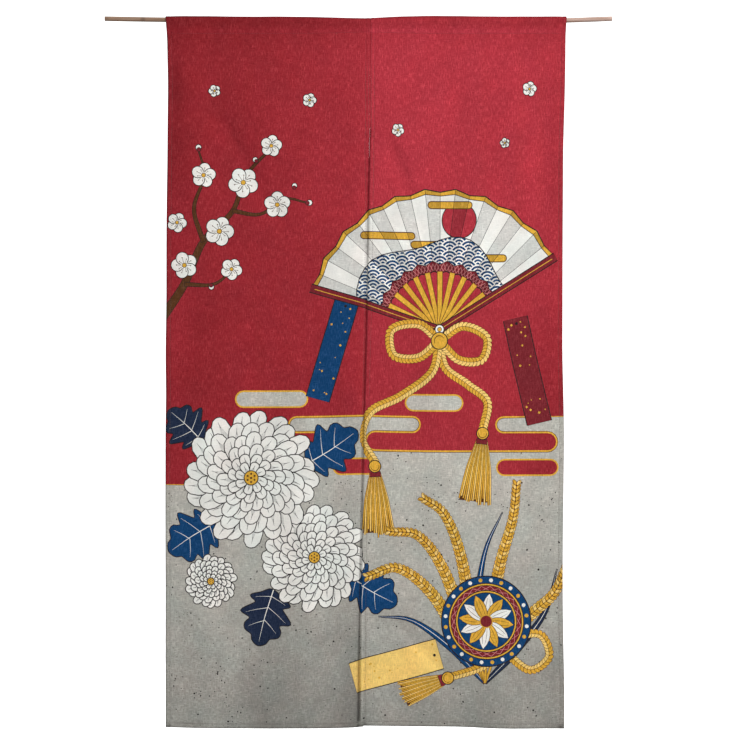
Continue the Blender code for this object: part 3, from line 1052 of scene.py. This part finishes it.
def joined(points, lines, cloth, across, bottom, apart):
    """Triangles between points on the flat cloth, from the top of the rod down.

    Some of their sides follow the lines, which are pairs of points.
    """
    key, index = np.unique(np.round(points / apart).astype(int), axis=0, return_inverse=True)
    index = index.reshape(-1)
    spots = np.zeros((len(key), 2))
    spots[index[::-1]] = points[::-1]
    lines = index[lines]
    lines = lines[lines[:, 0] != lines[:, 1]]
    made = delaunay_2d_cdt([Vector(p) for p in spots], lines.tolist(), [], 0, apart / 10, False)
    flat, faces = np.array(made[0]), np.array(made[2])
    u, v = flat[faces].mean(axis=1).T
    keep = (u > cloth.left) & (u < cloth.right) & (v > APEX) & (v < np.interp(u, across, bottom))
    used, faces = np.unique(faces[keep], return_inverse=True)
    flat, faces = flat[used], faces.reshape(-1, 3)
    corner = flat[faces]
    turn = np.cross(corner[:, 1] - corner[:, 0], corner[:, 2] - corner[:, 0])
    faces[turn > 0] = faces[turn > 0][:, ::-1]
    return flat, faces


def over_rod(flat, faces):
    """The same, with rows added from the top of the rod down the back."""
    last = np.flatnonzero(np.abs(flat[:, 1] - APEX) < 1e-3)
    last = last[np.argsort(flat[last, 0])]
    for row in BACK_ROWS:
        ahead = len(flat) + np.arange(len(last))
        flat = np.vstack([flat, flat_points(flat[last, 0], row)])
        a, b, c, d = last[:-1], last[1:], ahead[1:], ahead[:-1]
        faces = np.vstack([faces, np.column_stack([a, b, c]), np.column_stack([a, c, d])])
        last = ahead
    return flat, faces


def rim_edges(faces):
    """Edges that only one triangle uses, turned as in that triangle, and their triangles."""
    edges = np.vstack([faces[:, [0, 1]], faces[:, [1, 2]], faces[:, [2, 0]]])
    size = faces.max() + 1
    lone = ~np.isin(edges[:, 0] * size + edges[:, 1], edges[:, 1] * size + edges[:, 0])
    return edges[lone], np.flatnonzero(lone) % len(faces)


def flat_faces(cloth, edges, back_edges):
    """(points, triangles) on the flat cloth for the printed face and for the back."""
    across = steps(cloth.left, cloth.right, EDGE_STEP)
    bottom = cloth.bottom(across)
    ends = (cloth.left, cloth.right)
    left, right = (flat_points(u, np.linspace(APEX, cloth.bottom(u), SIDE_POINTS)) for u in ends)
    top, low = flat_points(across, APEX), flat_points(across, bottom)
    rim = np.vstack([top, right[1:-1], low[::-1], left[-2:0:-1]])
    order = np.arange(len(rim))
    rows = rows_of(cloth, across, bottom)

    def with_art(rim, around, art, apart):
        count = len(art[0])
        lines = np.column_stack([np.arange(count), np.arange(count) + count]) + len(rim)
        return joined(np.vstack([rim, *art, rows]), np.vstack([around, lines]), cloth, across, bottom, apart)

    start, end = edges
    crosses = (np.minimum(start, end)[:, 0] < cloth.right) & (np.maximum(start, end)[:, 0] > cloth.left)
    around = np.column_stack([order, np.roll(order, -1)])
    front = with_art(rim, around, (start[crosses], end[crosses]), SAME_POINT)
    # the back has the same outline to the last point, and simpler print that stays off it
    around, _ = rim_edges(front[1])
    on_rim, around = np.unique(around, return_inverse=True)
    start, end = back_edges
    room = np.ones(len(start), bool)
    for u, v in (start.T, end.T):
        room &= (u > cloth.left + CLEAR) & (u < cloth.right - CLEAR)
        room &= (v > APEX + CLEAR) & (v < np.interp(u, across, bottom) - CLEAR)
    back = with_art(front[0][on_rim], around.reshape(-1, 2), (start[room], end[room]), SAME_POINT_BACK)
    return over_rod(*front), over_rod(*back)


# ---------------------------------------------------------------- dyes, and painted light and shade
# How light the print is at heights down the cloth, at each panel's outer edge and beside the slit:
# partly uneven dye, and partly painted light and shade.
TONE = "drop left_outer left_inner right_inner right_outer"
CRIMSON_DYE_AND_SHADE = table(
    TONE,
    (0, 0.78, 0.92, 0.98, 0.94),
    (36, 0.79, 0.93, 1.0, 0.95),
    (100, 0.81, 0.95, 1.0, 0.96),
    (400, 0.83, 0.94, 1.0, 0.96),
    (560, 0.83, 0.92, 0.97, 0.94),
    (700, 0.83, 0.90, 0.95, 0.88),
    (800, 0.83, 0.90, 0.94, 0.84),
    (1000, 0.84, 0.90, 0.94, 0.84),
)
GREY_DYE_AND_SHADE = table(
    TONE,
    (820, 1.03, 1.0, 1.06, 1.03),
    (1060, 0.97, 0.93, 1.0, 0.97),
    (1230, 0.94, 0.87, 0.95, 0.92),
    (1400, 0.87, 0.77, 0.87, 0.83),
    (1500, 0.86, 0.75, 0.85, 0.80),
)
OTHER_DYE_AND_SHADE = table(TONE, (0, 0.98, 0.98, 1.0, 1.0))
DEEPER = 1.9  # how much faster crimson loses green and blue than red as it darkens
# Patches of painted shade on the ground, and of painted light where the depth is below 0.
PAINTED_SHADE_PATCHES = table(
    "u drop half_width half_height depth",
    (-214, 1445, 66, 78, 0.09),
    (-252, 1392, 26, 34, 0.04),
    (-10, 1330, 26, 120, 0.06),
    (-8, 1500, 34, 80, 0.10),
    (196, 1470, 80, 50, 0.06),
    (395, 1490, 40, 30, 0.04),
    (-352, 640, 60, 26, 0.03),
    (-392, 640, 26, 72, -0.06),
    (-421, 180, 5, 110, -0.06),
    (-409, 165, 8, 90, 0.05),
)
# painted shade along the free edges, and on the hems
EDGE_SHADE = 0.14
HEM_SHADE = 0.03
BOUNCE_LEFT, BOUNCE_LEFT_BESIDE, BOUNCE_RIGHT = 1.05, 0.06, 0.36
BASE_CLOTH = np.array([232, 226, 212]) / 255
PALER_BACK = 0.42  # share of the undyed cloth that shows in the print on the back
RIM_BULGE = 0.3  # how far the cut edge's middle line stands out
RIM_LEAN = 0.8  # how far the faces' directions lean out toward the cut edge


def dye_and_shade(rows, cloth, share, drop):
    """How light the print is at a place, partly uneven dye and partly painted light and shade. Across a panel
    it changes most toward the right edge.
    """
    outer, inner = (
        np.interp(drop, [row.drop for row in rows], [getattr(row, f"{cloth.side}_{edge}") for row in rows])
        for edge in ("outer", "inner")
    )
    if cloth.side == "left":
        return outer + (inner - outer) * share**2
    return inner + (outer - inner) * share**4


def pocket_painted_light(drop):
    """Painted light and shade on the print: dull at the pocket's top over the rod, bright at its stitches,
    even below.
    """
    on_pocket = 0.90 + 0.05 * smooth_step(-6, 4, drop) + 0.11 * smooth_step(8, ART_TOP, drop)
    below = 0.97 + 0.03 * smooth_step(ART_TOP, 70, drop)
    return np.where(drop < ART_TOP, on_pocket, below) - 0.12 * smooth_step(-1, -7, drop)


def bounce(cloth, u, drop):
    """Low down, light bounced between the panels keeps the slit's edges pale."""
    slit = cloth.from_slit(u)
    if cloth.side == "left":
        extra = BOUNCE_LEFT * bell(slit - 2.5, 2.8) - BOUNCE_LEFT_BESIDE * bell(slit - 12, 6)
    else:
        extra = BOUNCE_RIGHT * bell(slit, 3.5)
    return 1 + smooth_step(1100, 1300, drop) * extra


def dye(cloth, art, flat, faces):
    """The print's colour at each corner of each triangle, with painted light and shade multiplied in."""
    ink, shade = printed(art, flat[faces].mean(axis=1) + (0, ART_TOP))
    colour = np.array([(i.red, i.green, i.blue) for i in INKS])[ink] / 255
    u, v = np.moveaxis(flat[faces], -1, 0)
    share, drop = cloth.share(u), v + ART_TOP
    # partly uneven dye, partly painted light and shade, from each ink's table
    light = dye_and_shade(OTHER_DYE_AND_SHADE, cloth, share, drop)
    for name, rows in (("crimson", CRIMSON_DYE_AND_SHADE), ("grey", GREY_DYE_AND_SHADE)):
        own = ink == INK_NUMBER[name]
        light[own] = dye_and_shade(rows, cloth, share[own], drop[own])
    # painted light and shade of the pocket and of the cloth over the rod
    light *= pocket_painted_light(drop)
    # painted shade in patches, and painted light where the depth is below 0
    for patch in PAINTED_SHADE_PATCHES:
        across, down = bell(u - patch.u, patch.half_width), bell(drop - patch.drop, patch.half_height)
        light *= 1 - patch.depth * across * down
    # painted shade along the free edges and on the hems, times the painted bounced light beside the slit
    edge = cloth.to_free_edge(u, v)
    on_hem = 1 - smooth_step(HEM_WIDTH - 1, HEM_WIDTH + 1, edge)
    painted_edge_light = (1 - EDGE_SHADE * bell(edge, 2.0) - HEM_SHADE * on_hem) * bounce(cloth, u, drop)
    light = light[..., None]
    is_crimson = (ink == INK_NUMBER["crimson"])[:, None, None]
    light = light * np.where(is_crimson, light ** (0, DEEPER - 1, DEEPER - 1), 1.0)
    return colour[:, None, :] * shade[:, None, None] * light * painted_edge_light[..., None]


# ---------------------------------------------------------------- cloth pieces
def linked(mesh, look, name):
    mesh.materials.append(look)
    placed = bpy.data.objects.new(name, mesh)
    bpy.context.scene.collection.objects.link(placed)
    return placed


def floats(values):
    return values.astype(np.float32).reshape(-1)


def from_arrays(name, points, triangles):
    mesh = bpy.data.meshes.new(name)
    mesh.vertices.add(len(points))
    mesh.vertices.foreach_set("co", floats(points * MM))
    mesh.loops.add(triangles.size)
    mesh.loops.foreach_set("vertex_index", triangles.astype(np.int32).reshape(-1))
    mesh.polygons.add(len(triangles))
    mesh.polygons.foreach_set("loop_start", np.arange(0, triangles.size, 3, dtype=np.int32))
    mesh.update(calc_edges=True)
    mesh.shade_smooth()
    return mesh


def cloth_piece(cloth, art, edges, back_art, back_edges, look):
    """A panel as one closed sheet, printed on its outer face."""
    (flat, faces), (back_flat, back_faces) = flat_faces(cloth, edges, back_edges)
    outer, _, out = cloth.place(*flat.T)
    _, inner, back_out = cloth.place(*back_flat.T)
    front, rear = dye(cloth, art, flat, faces), dye(cloth, back_art, back_flat, back_faces)
    on_hem = cloth.to_edge(*back_flat.T)[back_faces].mean(axis=1) < HEM_WIDTH + 0.3
    rear = np.where(on_hem[:, None, None], rear, rear + (BASE_CLOTH - rear) * PALER_BACK)
    # the cut edge joins the two faces, with a middle line that stands out a little
    rim, beside = rim_edges(faces)
    on_rim = np.unique(rim)
    same = {tuple(spot): n for n, spot in enumerate(back_flat.tolist())}
    twin, mid = np.zeros((2, len(flat)), int)
    twin[on_rim] = [same[tuple(spot)] for spot in flat[on_rim].tolist()]
    mid[on_rim] = np.arange(len(on_rim)) + len(flat) + len(back_flat)
    away = np.zeros_like(outer)
    beyond = np.cross(outer[rim[:, 1]] - outer[rim[:, 0]], out[rim[:, 0]])
    for end in (0, 1):
        np.add.at(away, rim[:, end], beyond)
    away = unit(away)
    middle = (outer[on_rim] + inner[twin[on_rim]]) / 2 + away[on_rim] * RIM_BULGE
    a, b = rim.T
    mid_a, mid_b, low_a, low_b = mid[a], mid[b], twin[a] + len(flat), twin[b] + len(flat)
    walls = ((b, a, mid_a), (b, mid_a, mid_b), (mid_b, mid_a, low_a), (mid_b, low_a, low_b))
    lean_in = -back_out
    lean_in[twin[on_rim]] += RIM_LEAN * away[on_rim]
    normals = unit(np.vstack([out + RIM_LEAN * away, lean_in, away[on_rim]]))
    name = f"cloth_{cloth.side}"
    triangles = [faces, back_faces[:, ::-1] + len(flat), *[np.column_stack(wall) for wall in walls]]
    mesh = from_arrays(name, np.vstack([outer, inner, middle]), np.vstack(triangles))
    wall_colour = np.repeat(front[beside].mean(axis=1)[:, None, :], 3, axis=1)
    colours = np.vstack([front, rear[:, ::-1], *[wall_colour] * len(walls)])
    rgba = np.concatenate([np.clip(colours, 0, 1), np.ones((*colours.shape[:2], 1))], axis=2)
    paint = mesh.color_attributes.new("Dye", "BYTE_COLOR", "CORNER")
    paint.data.foreach_set("color_srgb", floats(rgba))
    laid = mesh.attributes.new("Flat", "FLOAT_VECTOR", "POINT")
    where = np.vstack([flat, back_flat, flat[on_rim]]) * MM
    laid.data.foreach_set("vector", floats(np.column_stack([where, np.zeros(len(where))])))
    # directions come from the shape itself, so that the print's triangles don't show
    mesh.normals_split_custom_set_from_vertices(normals.tolist())
    return linked(mesh, look, name)


def wrap(rings, sides, far_end=True):
    """Faces of a tube's points: its first end, rings of points around it, and its far end."""
    faces = []
    for k in range(sides):
        after = (k + 1) % sides
        faces.append((0, 1 + after, 1 + k))
        for low in range(1, 1 + (rings - 1) * sides, sides):
            high = low + sides
            faces.append((low + k, low + after, high + after, high + k))
        if far_end:
            low = 1 + (rings - 1) * sides
            faces.append((low + sides, low + k, low + after))
    return faces


# ---------------------------------------------------------------- stitches
STITCH = 2.9
STITCH_PITCH = 3.6
THREAD = 0.3
LINE_STEP = 20.0  # between the points of a line of stitches
# share of a stitch's length, height over the cloth, and share of the thread's radius
STITCH_SHAPE = ((0.0, -0.3, 0.0), (0.12, 0.02, 0.9), (0.5, 0.14, 1.0), (0.88, 0.02, 0.9), (1.0, -0.3, 0.0))


def beads(points, ups, ways):
    """Closed little stitches. Each has a point, an up and a way for each of its 5 places."""
    side = np.cross(ways, ups)
    verts = [points[:, 0]]
    for ring in (1, 2, 3):
        size = THREAD * STITCH_SHAPE[ring][2]
        for up, across in ((1, 0), (0, 1), (-1, 0), (0, -1)):
            verts.append(points[:, ring] + (ups[:, ring] * up * 0.8 + side[:, ring] * across) * size)
    verts = np.stack(verts + [points[:, 4]], axis=1)
    faces = np.array([(a, b, c) for a, *rest in wrap(3, 4) for b, c in zip(rest, rest[1:])])
    first = verts.shape[1] * np.arange(len(points))
    return verts.reshape(-1, 3), (faces[None] + first[:, None, None]).reshape(-1, 3)


def stitch_rows(cloth, lines, behind=False):
    """Stitches along lines on the flat cloth, on its outer face or behind it."""
    starts, ways = [], []
    for line in lines:
        at = np.arange(STITCH_PITCH / 2, lengths(line)[-1] - STITCH, STITCH_PITCH)
        starts.append(on_line(line, at))
        ways.append(on_line(line, at + STITCH) - starts[-1])
    start, way = np.vstack(starts), np.vstack(ways)
    points, ups = [], []
    for share, height, _ in STITCH_SHAPE:
        outer, inner, out = cloth.place(*(start + way * share).T)
        ups.append(-out if behind else out)
        points.append((inner if behind else outer) + ups[-1] * height)
    points, ups = np.stack(points, axis=1), np.stack(ups, axis=1)
    return beads(points, ups, unit(np.gradient(points, axis=1)))


def stitches(cloth, look):
    """The thread of a panel's hems, its pocket and its side of the seam."""
    across = steps(cloth.left + 2, cloth.right - 2, LINE_STEP)
    hems = [flat_points(across, cloth.bottom(across) - HEM_LINE)]
    for u in (cloth.left + HEM_LINE, cloth.right - HEM_LINE):
        hems.append(flat_points(u, steps(4, cloth.bottom(u) - 2, LINE_STEP)))
    seam = flat_points(-SEAM_LINE if cloth.side == "left" else SEAM_LINE, steps(-28, SEAM_END, LINE_STEP))
    rows = (
        stitch_rows(cloth, [*hems, flat_points(across, 0.0), seam]),
        stitch_rows(cloth, hems, behind=True),
        stitch_rows(cloth, [flat_points(across, BACK_STITCH)]),
    )
    verts, faces, count = [], [], 0
    for points, triangles in rows:
        verts.append(points)
        faces.append(triangles + count)
        count += len(points)
    name = f"stitches_{cloth.side}"
    return linked(from_arrays(name, np.vstack(verts), np.vstack(faces)), look, name)


# ---------------------------------------------------------------- rod
ROD_SIDES = 32
ROD_RINGS = 90
CHAMFER = 0.7
ROD_WAVER = 0.02


def rod_piece(look):
    """A dowel that bows under the cloth, with softened ends and a slight waver."""
    end = ROD_LENGTH / 2
    x = np.concatenate([[-end, -end], np.linspace(-end + CHAMFER, end - CHAMFER, ROD_RINGS), [end, end]])
    size = np.full(len(x), ROD_RADIUS)
    size[[0, -1]], size[[1, -2]] = 0.0, ROD_RADIUS - CHAMFER
    x, size, height = x[:, None], size[:, None], along(ROD_BOW, "height", x)[:, None]
    angle = 2 * pi * np.arange(ROD_SIDES) / ROD_SIDES
    waver = 1 - ROD_WAVER * (0.5 + 0.5 * np.sin(x / 37 + angle)) * (size == ROD_RADIUS)
    ring = size * waver
    points = np.stack(np.broadcast_arrays(x, ring * np.cos(angle), height + ring * np.sin(angle)), axis=-1)
    verts = np.vstack([points[0, :1], points[1:-1].reshape(-1, 3), points[-1, :1]])
    mesh = bpy.data.meshes.new("rod_wood")
    mesh.from_pydata((verts * MM).tolist(), [], wrap(len(x) - 2, ROD_SIDES))
    mesh.shade_smooth()
    mesh.set_sharp_from_angle(angle=radians(50))
    return linked(mesh, look, "rod_wood")


# ---------------------------------------------------------------- materials
class Look:
    """A material on Principled, with short calls for its nodes."""

    def __init__(self, name, colour, roughness, **sockets):
        self.material = bpy.data.materials.new(name)
        self.material.use_nodes = True
        self.tree = self.material.node_tree
        self.shader = self.tree.nodes["Principled BSDF"]
        self.shader.inputs["Base Color"].default_value = (*colour, 1.0)
        self.shader.inputs["Roughness"].default_value = roughness
        for socket, value in sockets.items():
            self.shader.inputs[socket.replace("_", " ")].default_value = value

    def node(self, kind, inputs=(), **settings):
        made = self.tree.nodes.new(kind)
        for key, value in settings.items():
            setattr(made, key, value)
        for key, value in dict(inputs).items():
            if isinstance(value, bpy.types.NodeSocket):
                self.tree.links.new(value, made.inputs[key])
            else:
                made.inputs[key].default_value = value
        return made

    def stored(self, name, output):
        """A value that the mesh carries."""
        return self.node("ShaderNodeAttribute", attribute_name=name).outputs[output]

    def place(self):
        return self.node("ShaderNodeTexCoord").outputs["Object"]

    def along_axis(self, vector, axis):
        return self.node("ShaderNodeSeparateXYZ", {"Vector": vector}).outputs[axis]

    def math(self, operation, a, b=0.0, c=0.0):
        return self.node("ShaderNodeMath", {0: a, 1: b, 2: c}, operation=operation).outputs[0]

    def times(self, a, b):
        return self.math("MULTIPLY", a, b)

    def rise(self, value, slope, start):
        """The start, and the slope times the value."""
        return self.math("MULTIPLY_ADD", value, slope, start)

    def vector_math(self, operation, a, b):
        return self.node("ShaderNodeVectorMath", {0: a, 1: b}, operation=operation)

    def noise(self, vector, stretch, detail=2.0, roughness=0.5):
        """Noise with that many features a metre along each axis, from 0 to 1."""
        scaled = self.vector_math("MULTIPLY", vector, stretch).outputs[0]
        inputs = {"Vector": scaled, "Scale": 1.0, "Detail": detail, "Roughness": roughness}
        return self.node("ShaderNodeTexNoise", inputs).outputs["Fac"]

    def ranged(self, value, start, end, low=0.0, high=1.0, **settings):
        """Low where the value is at the start, and high where it is at the end."""
        inputs = {"Value": value, "From Min": start, "From Max": end, "To Min": low, "To Max": high}
        return self.node("ShaderNodeMapRange", inputs, **settings).outputs[0]

    def spread(self, noise, low, high):
        """Noise, which stays from about 0.3 to 0.7, spread to run from low to high."""
        return self.ranged(noise, 0.3, 0.7, low, high)

    def mixed(self, factor, a, b, blend="MIX"):
        """Colour a where the factor is 0, and b where it is 1."""
        made = self.node("ShaderNodeMix", {0: factor, 6: a, 7: b}, data_type="RGBA", blend_type=blend)
        return made.outputs[2]

    def tinted(self, colour, factor):
        """The colour times a factor."""
        return self.mixed(1.0, colour, factor, "MULTIPLY")

    def colour(self, socket):
        self.tree.links.new(socket, self.shader.inputs["Base Color"])

    def bump(self, height, strength, distance):
        made = self.node("ShaderNodeBump", {"Height": height, "Strength": strength, "Distance": distance})
        self.tree.links.new(made.outputs[0], self.shader.inputs["Normal"])


def cloth_look():
    """Slub cotton: warp and weft of uneven threads under a dyed print."""
    look = Look("printed_cloth", (0.36, 0.04, 0.055), 0.95, Specular_IOR_Level=0.1)
    flat, dyed = look.stored("Flat", "Vector"), look.stored("Dye", "Color")
    weft = look.noise(flat, (100, 430, 1), 2.0, 0.6)
    warp = look.noise(flat, (430, 85, 1), 2.0, 0.6)
    patch = look.noise(flat, (60, 60, 1), 2.0, 0.6)
    cloud = look.noise(flat, (13, 10, 1), 5.0, 0.62)
    warmth = look.noise(flat, (15, 12, 1), 2.0, 0.5)
    # lighter slubs gather in patches, and show most on the undyed ground
    saturation = look.node("ShaderNodeSeparateColor", {"Color": dyed}, mode="HSV").outputs["Green"]
    bare = look.math("SUBTRACT", 1.0, saturation)
    across = look.times(look.spread(weft, -1.0, 1.15), look.rise(bare, 0.22, 0.95))
    down = look.times(look.spread(warp, -1.0, 1.5), look.rise(bare, -0.5, 1.12))
    slub = look.math("MAXIMUM", across, down)
    slub = look.math("MAXIMUM", slub, look.rise(bare, -0.5, -0.35))
    slub = look.times(slub, look.spread(patch, 0.45, 1.35))
    # but white print hides them
    lightness = look.node("ShaderNodeRGBToBW", {"Color": dyed}).outputs[0]
    slub = look.times(slub, look.ranged(lightness, 0.48, 0.75, 1.0, 0.25))
    shade = look.times(slub, look.rise(bare, 0.12, 0.29))
    blotch = look.times(look.spread(cloud, -0.10, 0.09), look.rise(bare, 0.40, 0.95))
    shade = look.times(look.math("ADD", shade, 0.985), look.math("ADD", blotch, 1.0))
    hue = look.mixed(look.spread(warmth, 0.0, 1.0), (1.035, 0.99, 0.985, 1), (0.975, 1.01, 1.01, 1))
    # slubs take up less dye
    undyed = look.times(look.math("MAXIMUM", slub, 0.0), 0.012)
    look.colour(look.mixed(undyed, look.tinted(look.tinted(dyed, hue), shade), (0.85, 0.80, 0.76, 1)))
    threads = []
    for direction, noise in (("X", warp), ("Y", weft)):
        inputs = {"Vector": flat, "Scale": 262.0, "Distortion": 2.2, "Detail": 2.0, "Detail Scale": 0.35}
        wave = look.node("ShaderNodeTexWave", inputs, bands_direction=direction).outputs["Fac"]
        threads.append(look.times(wave, look.spread(noise, 0.6, 1.4)))
    look.bump(look.math("ADD", *threads), 0.55, 0.00022)
    return look.material


def thread_look():
    """Dark thread, and red thread near the pocket."""
    look = Look("sewing_thread", (0.09, 0.06, 0.05), 0.75)
    place = look.place()
    dark = look.mixed(look.noise(place, (900, 900, 900)), (0.075, 0.045, 0.040, 1), (0.15, 0.095, 0.085, 1))
    at_pocket = look.ranged(look.along_axis(place, "Z"), -0.12, -0.09)
    look.colour(look.mixed(at_pocket, dark, (0.32, 0.036, 0.050, 1)))
    look.bump(look.noise(place, (2600, 2600, 2600), 1.0), 0.4, 0.0001)
    return look.material


KNOT = (-0.454, -0.005, -0.002)
WOOD_RAMP = ((0.32, (0.33, 0.19, 0.10, 1)), (0.68, (0.56, 0.40, 0.26, 1)))  # place on the ramp, and colour


def wood_look():
    """Bare softwood: long grain, fine pores, a knot and a few darker streaks."""
    look = Look("pale_wood", (0.5, 0.34, 0.21), 0.62, Specular_IOR_Level=0.35)
    place = look.place()
    grain = look.noise(place, (9, 420, 420), 4.0, 0.6)
    fibre = look.noise(place, (60, 2200, 2200), 3.0, 0.6)
    ramp = look.node("ShaderNodeValToRGB", {"Fac": grain})
    for stop, (position, colour) in zip(ramp.color_ramp.elements, WOOD_RAMP):
        stop.position, stop.color = position, colour
    # painted light: the left end darker and browner, the right end lighter and paler, as if lit from the
    # right
    toward_lit_end = look.ranged(look.along_axis(place, "X"), -0.4, 0.44)
    painted_end_light = look.mixed(toward_lit_end, (0.66, 0.62, 0.68, 1), (1.10, 1.12, 1.50, 1))
    from_knot = look.vector_math("DISTANCE", place, KNOT).outputs["Value"]
    knot = look.ranged(from_knot, 0.001, 0.008, 0.62, 1.0, interpolation_type="SMOOTHSTEP")
    shade = look.times(look.spread(fibre, 0.88, 1.12), knot)
    look.colour(look.tinted(look.tinted(ramp.outputs["Color"], painted_end_light), shade))
    look.bump(look.math("ADD", grain, fibre), 0.3, 0.0003)
    return look.material


# ---------------------------------------------------------------- the piece list
def dress():
    art = design()
    back_art = show_through(art)
    edges, back_edges = visible_edges(art), visible_edges(back_art)
    printed_cloth, thread = cloth_look(), thread_look()
    for side in ("left", "right"):
        cloth = Cloth(side)
        sheet = cloth_piece(cloth, art, edges, back_art, back_edges, printed_cloth)
        sewn = stitches(cloth, thread)
        for piece in (sheet, sewn):
            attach(piece, "root")
        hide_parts(f"panel_{side}")
    rod = rod_piece(wood_look())
    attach(rod, "root")
    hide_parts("rod")


# ---------------------------------------------------------------- stage, light, camera (metres)
FLOOR = -1.9
FLAT_RADIUS = 6.0
BEND_RADIUS = 3.5
WALL_TOP = 9.0
STAGE_SIDES = 96


def stage():
    """A round white floor that curves up all round, far from the curtain."""
    bend = np.linspace(0, pi / 2, 9)
    profile = [(FLAT_RADIUS + BEND_RADIUS * sin(a), FLOOR + BEND_RADIUS * (1 - cos(a))) for a in bend]
    profile.append((FLAT_RADIUS + BEND_RADIUS, WALL_TOP))
    verts = [(0.0, 0.0, FLOOR)]
    for radius, z in profile:
        for a in 2 * pi * np.arange(STAGE_SIDES) / STAGE_SIDES:
            verts.append((radius * cos(a), radius * sin(a), z))
    mesh = bpy.data.meshes.new("backdrop")
    mesh.from_pydata(verts, [], [face[::-1] for face in wrap(len(profile), STAGE_SIDES, far_end=False)])
    mesh.shade_smooth()
    look = Look("backdrop_white", (0.9, 0.9, 0.9), 1.0, Emission_Color=(1, 1, 1, 1), Emission_Strength=1.0)
    placed = linked(mesh, look.material, "backdrop")
    placed.visible_diffuse = placed.visible_glossy = placed.visible_shadow = False


LAMPS = table(
    "name place aim_height size power",
    ("key", (4.2, -2.9, 2.3), -0.7, 1.9, 290),
    ("fill", (-2.6, -4.6, 0.2), -0.8, 2.6, 62),
    ("back", (1.5, 5.0, 1.6), -0.7, 2.6, 120),
)
SKY = 0.38  # strength of the even white light from all round
# The photograph: the width that its frame takes in at the rod's plane, and its middle.
FRAME_WIDTH = 1.5605
AIM = Vector((0.0244, 0.0, -0.7408))
CAMERA_AWAY = 5.0
SENSOR = 36.0


def studio():
    scene = bpy.context.scene
    scene.view_settings.view_transform = "Standard"
    scene.world = bpy.data.worlds.new("studio")
    scene.world.use_nodes = True
    sky = scene.world.node_tree.nodes["Background"].inputs
    sky["Color"].default_value, sky["Strength"].default_value = (1.0, 1.0, 1.0, 1), SKY
    for lamp in LAMPS:
        data = bpy.data.lights.new(lamp.name, "AREA")
        data.shape, data.size, data.energy = "DISK", lamp.size, lamp.power
        placed = bpy.data.objects.new(lamp.name, data)
        placed.location = lamp.place
        aim = Vector((0.0, 0.0, lamp.aim_height)) - Vector(lamp.place)
        placed.rotation_euler = aim.to_track_quat("-Z", "Y").to_euler()
        scene.collection.objects.link(placed)
    data = bpy.data.cameras.new("photo")
    data.sensor_width, data.lens = SENSOR, SENSOR * CAMERA_AWAY / FRAME_WIDTH
    data.clip_end = 60.0
    scene.camera = bpy.data.objects.new("photo", data)
    scene.camera.location = AIM + Vector((0, -CAMERA_AWAY, 0))
    scene.camera.rotation_euler = (pi / 2, 0, 0)
    scene.collection.objects.link(scene.camera)


studio()
stage()
dress()
